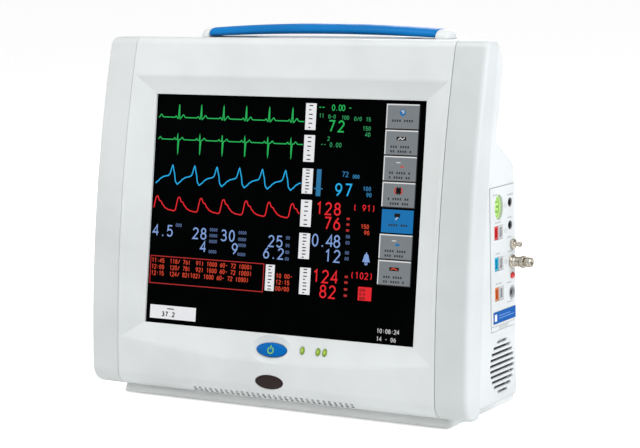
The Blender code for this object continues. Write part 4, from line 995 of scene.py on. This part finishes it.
UNIT_MARKS = (
    (-83.4, -19.6), (-83.4, -31.2), (-49.0, -20.6), (-49.0, -33.0), (6.6, -22.6), (6.6, -36.6),
    (-83.4, -25.4), (-49.0, -27.2), (-83.4, -41.4), (-49.0, -42.0), (74.0, -17.6), (74.0, -23.4),
    (74.0, -33.0), (74.0, -38.6), (6.6, -30.0), (6.6, -43.0))
write("small_unit_marks", "dim_pale", 0.55, [
    ("000", -125.0, -17.4, 3.0),
    *(("0000" if u < 0 else "00", u, v, 2.8) for u, v in UNIT_MARKS)])
draw("pressure_unit_marks", "dim_red", 2.2, [
    [(u0, v), (u1, v)] for u0, u1, heights in (
        (73.6, 77.0, (0.8, -4.6, -10.2)), (75.0, 78.6, (-54.6, -60.0, -66.6, -72.6)))
    for v in heights])
bell = arc(97.6, -34.6, 2.7, 3.4, 180, 0, 14) + [(101.8, -39.2), (93.4, -39.2)]
shown(plates([bell], LAYER, 0.03), "bell_icon", "pale")
draw("bell_icon_parts", "pale", 0.9,
     [arc(97.6, -40.8, 1.3, 1.0, 0, 360, 12), [(97.6, -31.4), (97.6, -29.8)]])
write("clock_numerals", "white", 0.62, [
    ("10:08:24", 113.6, -105.0, 3.7, 0.86, 0.98), ("14 - 06", 113.6, -112.6, 3.7, 0.86, 0.98)])

# Soft keys: a column of plates with lit and shaded edges; the fifth is active
KEY_U0, KEY_U1 = 110.9, 146.2
KEY_U = (KEY_U0 + KEY_U1) / 2
KEY_LOWS = [112.0 - k * 24.65 - 23.2 for k in range(7)]
KEY_HEIGHT = 23.2
ACTIVE_KEY = 4
faces, active, light, shade, captions = [], [], [], [], []
for k, v0 in enumerate(KEY_LOWS):
    v1 = v0 + KEY_HEIGHT
    (active if k == ACTIVE_KEY else faces).append((KEY_U0 + 1.1, KEY_U1, v0, v1 - 1.2))
    if k != ACTIVE_KEY:
        light += [(KEY_U0, KEY_U0 + 1.1, v0, v1), (KEY_U0 + 1.1, KEY_U1, v1 - 1.2, v1)]
        shade += [(KEY_U0 + 0.2, KEY_U1 + 0.9, v0 - 0.8, v0),
                  (KEY_U1, KEY_U1 + 0.9, v0, v1 - 0.4)]
    for line in range(1 if k in (0, ACTIVE_KEY) else 2):
        for j in range(-4, 5):
            if (j + k + line) % 5:
                u, v = KEY_U + j * 2.6, v0 + 7.4 - line * 4.4
                captions.append([(u - 0.8, v), (u + 0.8, v)])
paint("soft_keys", "key", faces, 0.02)
paint("soft_key_lit_edges", "key_light", light, 0.02, LAYER * 2)
paint("soft_key_shaded_edges", "key_dark", shade, 0.02)
paint("soft_key_active", "key_blue", active, 0.02)
draw("soft_key_caption_blocks", "key_dark", 2.1, captions, 0.09)

# Icon strokes by colour: key, path about the icon's centre
ICONS = {
    "dark": ((1, [(-5.2, 0), (5.2, 0)]), (3, [(-2.6, -2.8), (2.6, 2.8)]),
             (3, [(-2.6, 2.8), (2.6, -2.8)]), (4, [(-3.0, 1.6), (3.4, 1.6)]),
             (6, [(-5.2, 0), (5.2, 0)])),
    "blue": ((0, arc(0, 0, 2.1, 2.1, 0, 360, 20)), (5, [(0.0, -1.6), (4.2, -1.6)])),
    "orange": ((2, [(0.4, -1.8), (4.6, -1.8)]), (3, arc(0, 0, 4.0, 3.6, 130, 230, 8)),
               (3, arc(0, 0, 4.0, 3.6, -50, 50, 8)), (6, [(-3.4, -0.6), (-0.6, 0.8), (3.4, -0.8)])),
    "white": ((0, arc(0, 0.6, 1.2, 1.2, 170, -60, 8) + [(0, -0.9)]),
              (1, [(-3.6, -1), (-1, 0.8), (1, -0.8), (3.6, 1)]), (2, [(-4.0, 2), (0.5, 2)]),
              (4, [(-1.6, -2.6), (1.0, -0.4)]), (5, [(-4.0, 2), (0.5, 2)])),
}
for colour, look, width, base in (("dark", "ink", 3.4, 0.09), ("blue", "key_blue", 2.2, 0.12),
                                  ("orange", "orange", 1.2, 0.16), ("white", "white", 0.9, 0.19)):
    paths = [[(KEY_U + u, KEY_LOWS[k] + 15.2 + v) for u, v in path] for k, path in ICONS[colour]]
    draw("soft_key_icons_" + colour, look, width, paths, base)

# ---------------------------------------------------------------- plug-in module, right flank
ECG_Y, ECG_Z = 41.0, 13.9
JACK_Y = 64.3
JACKS = (("temperature_jack_upper", 15.9), ("temperature_jack_lower", -5.9))
SOCKETS = (("pressure_socket", -10.0, "red"), ("oximetry_socket", -39.5, "cyan"),
           ("sensor_socket", -68.0, "orange"))
SYNC_YZ = (68.2, -24.6)
HOSE_YZ = (67.2, -41.0)
RELEASE_YZ = (68.0, -54.6)
PORT_YZ = (66.8, -70.8)

plate = bevel(box(210.0, MODULE_X, *MODULE_Y, *MODULE_Z), 0.5, 3, 50)
cut(plate, merged([
    rod("x", (214, ECG_Y, ECG_Z), 1.0, 20, 48, stretch=(8.6, 12.0)),
    *(rod("x", (214, JACK_Y, z), 4.4, 20, 32) for _, z in JACKS),
    *(box(200, 230, 31.2, 48.8, z - 6.6, z + 6.6) for _, z, _ in SOCKETS),
    rod("x", (214, *SYNC_YZ), 3.3, 20, 32), rod("x", (214, *HOSE_YZ), 5.3, 20, 40),
    rod("x", (214, *RELEASE_YZ), 1.0, 20, 40, stretch=(4.5, 3.2)),
    rod("x", (214, *PORT_YZ), 6.7, 20, 40),
]))
cut(plate, box(MODULE_X - 0.6, 230, 27.2, 74.4, -95.9, -84.3))
file_piece(plate, "module_face", "rear", "module", "module_faceplate")

# Oval socket with a ring of six hollow contacts
socket = rod("x", (210.9, ECG_Y, ECG_Z), 1.0, 7.4, 48, stretch=(8.3, 11.7))
cut(socket, rod("x", (214.0, ECG_Y + 0.6, ECG_Z), 1.0, 3.0, 48, stretch=(6.4, 9.4)))
file_piece(bevel(socket, 0.5, 3, 60), "ecg_socket_body", "green", "module",
           "ecg_socket")
PIN = [(0.55, 212.3), (0.55, 214.0), (0.85, 214.1), (1.15, 213.9), (1.15, 212.3)]
pins = []
for k in range(6):
    a = 2 * pi * k / 6
    pins.append(turned(PIN, "x", (0, ECG_Y + 0.6 + 3.4 * cos(a), ECG_Z + 5.2 * sin(a)), 16))
file_piece(merged(pins), "ecg_socket_contacts", "green_dark", "module")

for name, z in JACKS:
    jack = turned([(4.1, 216.0), (3.8, 216.4), (2.9, 216.4), (2.6, 216.1), (2.6, 205.0),
                   (0.0, 205.0), (0.0, 203.0), (4.1, 203.0)], "x", (0, JACK_Y, z), 40)
    file_piece(jack, name + "_body", "dark", "module", name)

# Rectangular sockets: coloured block, pale surround and an insert with two by four holes
for name, z, look in SOCKETS:
    block = bevel(box(206.0, 216.2, 31.5, 48.5, z - 6.3, z + 6.3), 0.5, 3, 60)
    cut(block, box(211.0, 220.0, 39.9, 50.0, z - 8.0, z + 8.0))
    cut(block, box(214.0, 220.0, 33.0, 38.6, z - 4.6, z + 4.6))
    file_piece(block, name + "_body", look, "module", name)
    surround = bevel(box(212.4, 216.8, 40.1, 48.55, z - 6.35, z + 6.35), 0.35, 3, 60)
    cut(surround, box(205.0, 220.0, 41.3, 46.9, z - 4.5, z + 4.5))
    file_piece(surround, name + "_surround", "grey_light", "module")
    insert = bevel(box(211.4, 215.6, 41.45, 46.75, z - 4.2, z + 4.2), 0.4, 2, 60)
    cut(insert, merged([rod("x", (215.5, 43.0 + 1.9 * i, z - 2.6 + 1.75 * j), 0.5, 3.0, 12)
                        for i in range(2) for j in range(4)]))
    file_piece(insert, name + "_insert", "grey", "module")

# Turned fittings: radius, x
SYNC_PROFILE = [
    (2.7, 226.2), (2.5, 226.4), (1.2, 226.4), (1.2, 210.0), (0.0, 210.0), (0.0, 206.0),
    (3.0, 206.0), (3.0, 217.3), (5.0, 217.3), (5.0, 219.6), (4.8, 219.8), (2.3, 220.4),
    (2.1, 220.9), (2.1, 223.4), (2.7, 224.3)]
HOSE_PROFILE = [
    (4.9, 237.6), (4.5, 238.0), (2.9, 238.0), (2.7, 237.8), (2.4, 236.6), (2.1, 236.2),
    (2.1, 210.0), (0.0, 210.0), (0.0, 204.0), (5.0, 204.0), (5.0, 217.3), (6.4, 217.3),
    (6.4, 218.6), (6.2, 218.8), (5.0, 219.3), (5.0, 221.0), (4.6, 221.4), (4.6, 222.2),
    (5.0, 222.6), (5.0, 225.4), (4.8, 225.8), (3.6, 226.3), (3.6, 232.9), (4.7, 233.1),
    (5.0, 233.5), (5.0, 235.2), (4.7, 235.6), (4.7, 236.2), (4.9, 236.5), (4.9, 237.3)]
COLLAR_PROFILE = [(5.9, 230.6), (6.1, 230.2), (6.1, 228.0), (5.5, 227.6), (5.4, 227.0),
                  (5.0, 226.4), (3.9, 226.4), (3.9, 230.6)]
PORT_PROFILE = [(6.4, 216.9), (6.1, 217.3), (5.3, 217.3), (4.8, 216.6), (4.6, 214.2),
                (0.0, 214.2), (0.0, 207.0), (6.4, 207.0)]
PORT_CORE_PROFILE = [(3.6, 214.9), (3.2, 215.5), (1.2, 215.5), (1.0, 215.1), (0.0, 215.1),
                     (0.0, 214.25), (3.6, 214.25)]
file_piece(turned(SYNC_PROFILE, "x", (0, *SYNC_YZ), 48), "sync_fitting_body", "nickel",
           "module", "sync_fitting")
file_piece(turned(HOSE_PROFILE, "x", (0, *HOSE_YZ), 56), "hose_fitting_body", "nickel",
           "module", "hose_fitting")
collar = turned(COLLAR_PROFILE, "x", (0, *HOSE_YZ), 72)
knurl = []
for k in range(24):
    a = 2 * pi * k / 24
    centre = (229.1, HOSE_YZ[0] + 6.25 * cos(a), HOSE_YZ[1] + 6.25 * sin(a))
    knurl.append(rod("x", centre, 0.35, 1.6, 8))
cut(collar, merged(knurl))
file_piece(collar, "hose_collar_body", "nickel", "hose_collar", "hose_collar")
release = rod("x", (212.5, *RELEASE_YZ), 1.0, 9.0, 48, stretch=(4.1, 2.8))
join(release, ball(Matrix.Translation((216.9, *RELEASE_YZ)), (0, 0, 0), (2.45, 4.095, 2.795),
                   48, 24))
file_piece(release, "hose_release_cap", "red", "hose_release", "hose_release")
file_piece(turned(PORT_PROFILE, "x", (0, *PORT_YZ), 56), "round_port_body", "grey",
           "module", "round_port")
file_piece(turned(PORT_CORE_PROFILE, "x", (0, *PORT_YZ), 40), "round_port_core", "dark",
           "module")


def printed(obj, name, look):
    """Files flat print on the module's face: its u runs back along y, its v up."""
    obj.data.transform(Matrix.Translation((MODULE_X, 0, 0)) @ AXES["x"])
    file_piece(obj, name, look, "module", angle=60)


label = bevel(box(MODULE_X - 0.3, MODULE_X + 0.2, 27.5, 74.1, -95.6, -84.6), 0.15)
file_piece(label, "module_label_film", "label", "module", "module_label")
printed(tile([(29.6, 34.2, -93.4, -86.8)], 0.08, 0.22, 0.6), "module_label_patch", "print")
printed(tile([(38.6, 70.8, -91.6, -90.9), (38.6, 62.0, -89.2, -88.5)], 0.08, 0.22, 0.3),
        "module_label_bars", "film_light")
# Rows of three or four small blocks by the ports: y, z of each row's start
PORT_MARKS = ((29.0, 25.6), (59.0, 22.6), (59.0, 1.0), (33.0, -1.0), (33.0, -30.2),
              (33.0, -58.8), (58.0, -17.6), (58.0, -31.4), (56.0, -61.0), (56.0, -79.6))
rows = [(y + 3.1 * k, y + 3.1 * k + 2.2, z, z + 1.3)
        for i, (y, z) in enumerate(PORT_MARKS) for k in range(4 if i % 2 else 3)]
printed(tile(rows, 0.08, 0.03, 0.3), "port_marks", "mark_grey")
printed(ribbon([arc(54.2, z, 1.7, 1.7, 0, 360, 20) for z in (13.9, -10.0, -39.5)], 0.45, 0.08,
               0.03), "port_symbols", "mark_grey")

# Ribbed latch bar along the module's lower edge
latch = bevel(box(209.5, MODULE_X - 0.4, MODULE_Y[0] + 0.2, MODULE_Y[1] - 0.2,
                  MODULE_Z[0] - 4.9, MODULE_Z[0] - 0.5), 0.7, 4, 50)
cut(latch, merged([box(MODULE_X - 0.9, MODULE_X + 2, 40 + 2.4 * i, 41.0 + 2.4 * i,
                       MODULE_Z[0] - 4.2, MODULE_Z[0] - 1.2) for i in range(8)]))
file_piece(latch, "module_latch_bar", "rear", "module_latch", "module_latch")


# ---------------------------------------------------------------- handle
def grip_share(x):
    """Squared share of the way from the middle to the end."""
    return min(abs(x) / 132.0, 1.0) ** 2


def grip_middle(x):
    return 176.5 - 3.7 * grip_share(x)


def grip_half_height(x):
    return 5.1 - 0.8 * grip_share(x)


def handle_y(half, c, rise):
    """y on a squarish section that narrows as it rises; c is the cosine round it."""
    return HANDLE_Y + half * copysign(abs(c) ** 0.7, c) * (1 - 0.16 * rise)


def grip_section(x, half_y, half_z):
    loop = []
    for i in range(48):
        t = 2 * pi * i / 48
        s = sin(t)
        high = copysign(abs(s) ** 0.8, s)
        y = handle_y(half_y, cos(t), high + 1)
        loop.append(Vector((x, y, grip_middle(x) + half_z * high)))
    return loop


def grip_run(half, steps, half_y, share=1.0, less=0.0):
    """Sections from -half to half; share and less thin their height."""
    stations = [half * (-1 + 2 * i / steps) for i in range(steps + 1)]
    return [grip_section(x, half_y, grip_half_height(x) * share - less) for x in stations]


end_height = grip_half_height(GRIP_HALF) - 0.5
grip = loft([grip_section(-GRIP_HALF, 14.6, end_height), *grip_run(GRIP_HALF - 0.6, 40, 15.2),
             grip_section(GRIP_HALF, 14.6, end_height)])
cut(grip, loft(grip_run(GRIP_HALF + 3, 20, 11.3, 0.55)))
grooves = []
for i in range(-9, 10):
    x = i * 7.0
    place = Matrix.Translation((x, HANDLE_Y, grip_middle(x) - 5.3))
    grooves.append(placed_box(place, -1.1, 1.1, -10.0, 10.0, -0.6, 0.7))
cut(grip, merged(grooves))
file_piece(grip, "handle_sleeve", "handle", stands_for="handle_grip")

# Core through the sleeve, with a rounded end cap resting on the housing at each side
beam = loft(grip_run(GRIP_HALF + 4, 20, 11.0, 0.55, 0.3))
for side in (-1, 1):
    caps = []
    for i in range(14):
        f = i / 13
        x = GRIP_HALF + 0.4 + 13.0 * f
        half_y = 14.6 * sqrt(max(1 - (f * 0.985) ** 3, 0.004))
        tall = 8.7 * sqrt(max(1 - (f * 0.96) ** 3.4, 0.02))
        loop = []
        for j in range(48):
            t = 2 * pi * j / 48
            s = sin(t)
            rise = tall * abs(s) ** 0.7 if s > -0.001 else 0.0
            y = handle_y(half_y, cos(t), max(s, 0))
            loop.append(Vector((x * side, y, REAR_TOP + GAP + rise)))
        caps.append(loop)
    join(beam, loft(caps))
    cut(beam, rod("z", (side * HANDLE_SCREW_X, HANDLE_Y, 166.5), 2.2, 10, 24))
file_piece(beam, "handle_core", "case", stands_for="handle_beam")

# ---------------------------------------------------------------- plinth and feet
floor_z = PLINTH_BOTTOM
profile = [(PLINTH_FRONT + 1.2, floor_z), (PLINTH_BACK - 3, floor_z)]     # y, z
for i in range(1, 6):                                       # rounded lower back edge
    a = radians(-90 + 90 * i / 5)
    profile.append((PLINTH_BACK - 3 + 3 * cos(a), floor_z + 3 + 3 * sin(a)))
profile += [(PLINTH_BACK, REAR_BOTTOM - 6), (PLINTH_BACK - 6, REAR_BOTTOM - GAP),
            (2.0, REAR_BOTTOM - GAP), (2.0, FRONT_BOTTOM - GAP),
            (PLINTH_FRONT + 3.4, FRONT_BOTTOM - GAP)]
for i in range(1, 9):                                       # cove under the front
    t = i / 9
    profile.append((PLINTH_FRONT + 3.4 * (1 - t) ** 2, FRONT_BOTTOM - GAP - 7.3 * t))
profile += [(PLINTH_FRONT, floor_z + 1.2), (PLINTH_FRONT + 0.35, floor_z + 0.35)]
plinth = loft([[Vector((x, y, z)) for y, z in profile] for x in (-PLINTH_HALF, PLINTH_HALF)])
FEET = [("foot_front_left", -160, 6), ("foot_front_right", 160, 6),
        ("foot_rear_left", -160, 112), ("foot_rear_right", 160, 112)]
pockets = [rod("z", (x, y, floor_z), 9.3, 3.6, 48) for _, x, y in FEET]
pockets.append(box(-70.4, 70.4, 13.6, 104.4, floor_z - 4, floor_z + 2.3))
for x0, x1 in ((-180, -78), (78, 180)):                     # three hollows each side
    width = (x1 - x0 - 4) / 3
    for i in range(3):
        x = x0 + i * (width + 2)
        pockets.append(box(x, x + width, 18, 100, floor_z - 4, floor_z + 12))
cut(plinth, merged(pockets))
# The plinth takes the lighter copy of the case white, painted bounce light from the floor
file_piece(plinth, "plinth_shell", "plinth", stands_for="plinth")
PAD_PROFILE = ((9.0, 1.5), (9.0, -1.0), (8.8, -1.3), (8.4, -1.5), (5.0, -1.5), (4.6, -1.1),
               (0.0, -1.1), (0.0, 1.5))                     # radius, height from the plinth
for name, x, y in FEET:
    pad = turned([(radius, floor_z + rise) for radius, rise in PAD_PROFILE], "z", (x, y, 0), 48)
    file_piece(pad, name + "_pad", "rubber", stands_for=name)

# ---------------------------------------------------------------- rear screws, cross recessed
SCREW_PROFILE = [(2.0, 134.3), (4.0, 134.3), (4.0, 135.5), (3.5, 136.1), (2.2, 136.5),
                 (0.0, 136.6), (0.0, 118.0), (2.0, 118.0)]  # radius, y
for place, (x, z) in zip(("upper_left", "lower_left", "upper_right", "lower_right"), STANDOFFS):
    name = "case_screw_" + place
    screw = turned(SCREW_PROFILE, "y", (x, 0, z), 40)
    cut(screw, box(x - 2.0, x + 2.0, 135.4, 138, z - 0.45, z + 0.45))
    cut(screw, box(x - 0.45, x + 0.45, 135.4, 138, z - 2.0, z + 2.0))
    file_piece(screw, name + "_head", "steel", stands_for=name)

# ---------------------------------------------------------------- finishes for carried-over nodes
for look, names in {
        "glass": "touch_glass",
        "rubber": "glass_gasket button_dome",
        "sheet": "lcd_panel lcd_chassis io_panel network_port heat_sink power_supply "
                 "speaker_frame module_bay module_case mounting_plate",
        "board": "switch_board main_board bay_backplane module_board",
        "dark": "power_inlet fan_frame fan_rotor module_plug",
        "label": "video_port",
        "cable": "display_cable",
        "cone": "speaker_cone",
        "steel": "handle_screw_left handle_screw_right"}.items():
    for name in names.split():
        materials = frame["nodes"][name].data.materials
        materials.clear()
        materials.append(LOOKS[look])

# ---------------------------------------------------------------- floor, world, lights (metres)
bpy.ops.mesh.primitive_plane_add(size=24.0, location=(0, 4.0, -0.0016))
floor = bpy.context.object
floor.name = "studio_floor"


def camera_ray_switch(tree, otherwise, seen):
    """One value where the camera looks straight at a surface, another for all other rays."""
    ray = add_node(tree, "LightPath").outputs["Is Camera Ray"]
    return remap(tree, ray, (0.0, 1.0), (otherwise, seen))


pale, tree, shader = new_material("floor_pale")
fill(tree, shader, {
    "Base Color": (0.93, 0.93, 0.93, 1), "Roughness": 0.85, "Specular IOR Level": 0.1,
    "Emission Color": (1, 1, 1, 1),
    "Emission Strength": camera_ray_switch(tree, otherwise=0.05, seen=0.66)})
floor.data.materials.append(pale)

world = bpy.data.worlds.new("studio")
bpy.context.scene.world = world
world.use_nodes = True
tree = world.node_tree
fill(tree, tree.nodes["Background"], {
    "Color": (1.0, 1.0, 1.0, 1), "Strength": camera_ray_switch(tree, otherwise=0.34, seen=1.0)})


def soft_light(name, at, power, aim=(0, 0, 0.2), colour=(1, 1, 1)):
    """A square area light aimed at a point; power in watts."""
    data = bpy.data.lights.new(name, "AREA")
    data.shape = "RECTANGLE"
    data.size = data.size_y = 1.2
    data.energy = power
    data.color = colour
    lamp = bpy.data.objects.new(name, data)
    lamp.location = at
    lamp.rotation_euler = (Vector(aim) - Vector(at)).to_track_quat("-Z", "Y").to_euler()
    bpy.context.scene.collection.objects.link(lamp)


soft_light("key_right", (1.9, -0.2, 0.9), power=29, aim=(0.1, 0, 0.2), colour=(0.96, 0.98, 1.0))
soft_light("top_soft", (-0.2, -0.6, 2.0), power=23)
soft_light("front_left", (-2.0, -1.1, 0.9), power=15, colour=(1.0, 0.99, 0.97))
soft_light("back_fill", (-0.7, 2.2, 1.0), power=12)

# ---------------------------------------------------------------- camera
YAW, PITCH, ROLL = 0.551391, 0.142211, -0.023741         # radians
EYE = Vector((1095.139, -1706.821, 281.146))             # mm, working frame
ahead = Vector((-sin(YAW) * cos(PITCH), cos(YAW) * cos(PITCH), -sin(PITCH)))
level = Vector((cos(YAW), sin(YAW), 0.0))
upright = level.cross(ahead)
right = level * cos(ROLL) + upright * sin(ROLL)
up = upright * cos(ROLL) - level * sin(ROLL)
camera_data = bpy.data.cameras.new("camera")
camera_data.sensor_width = 36.0
camera_data.lens = 118.26759375
camera = bpy.data.objects.new("camera", camera_data)
bpy.context.scene.collection.objects.link(camera)
eye = (EYE + SHIFT) * 0.001
camera.matrix_world = Matrix((*((right[i], up[i], -ahead[i], eye[i]) for i in range(3)),
                              (0, 0, 0, 1)))
bpy.context.scene.camera = camera
bpy.context.scene.view_settings.view_transform = "Standard"

bpy.data.collections.remove(work)
# A start-up scene may bring its own objects
for obj in list(bpy.context.scene.objects):
    if obj.name in ("Cube", "Light", "Camera"):
        bpy.data.objects.remove(obj)

bpy.context.view_layer.update()
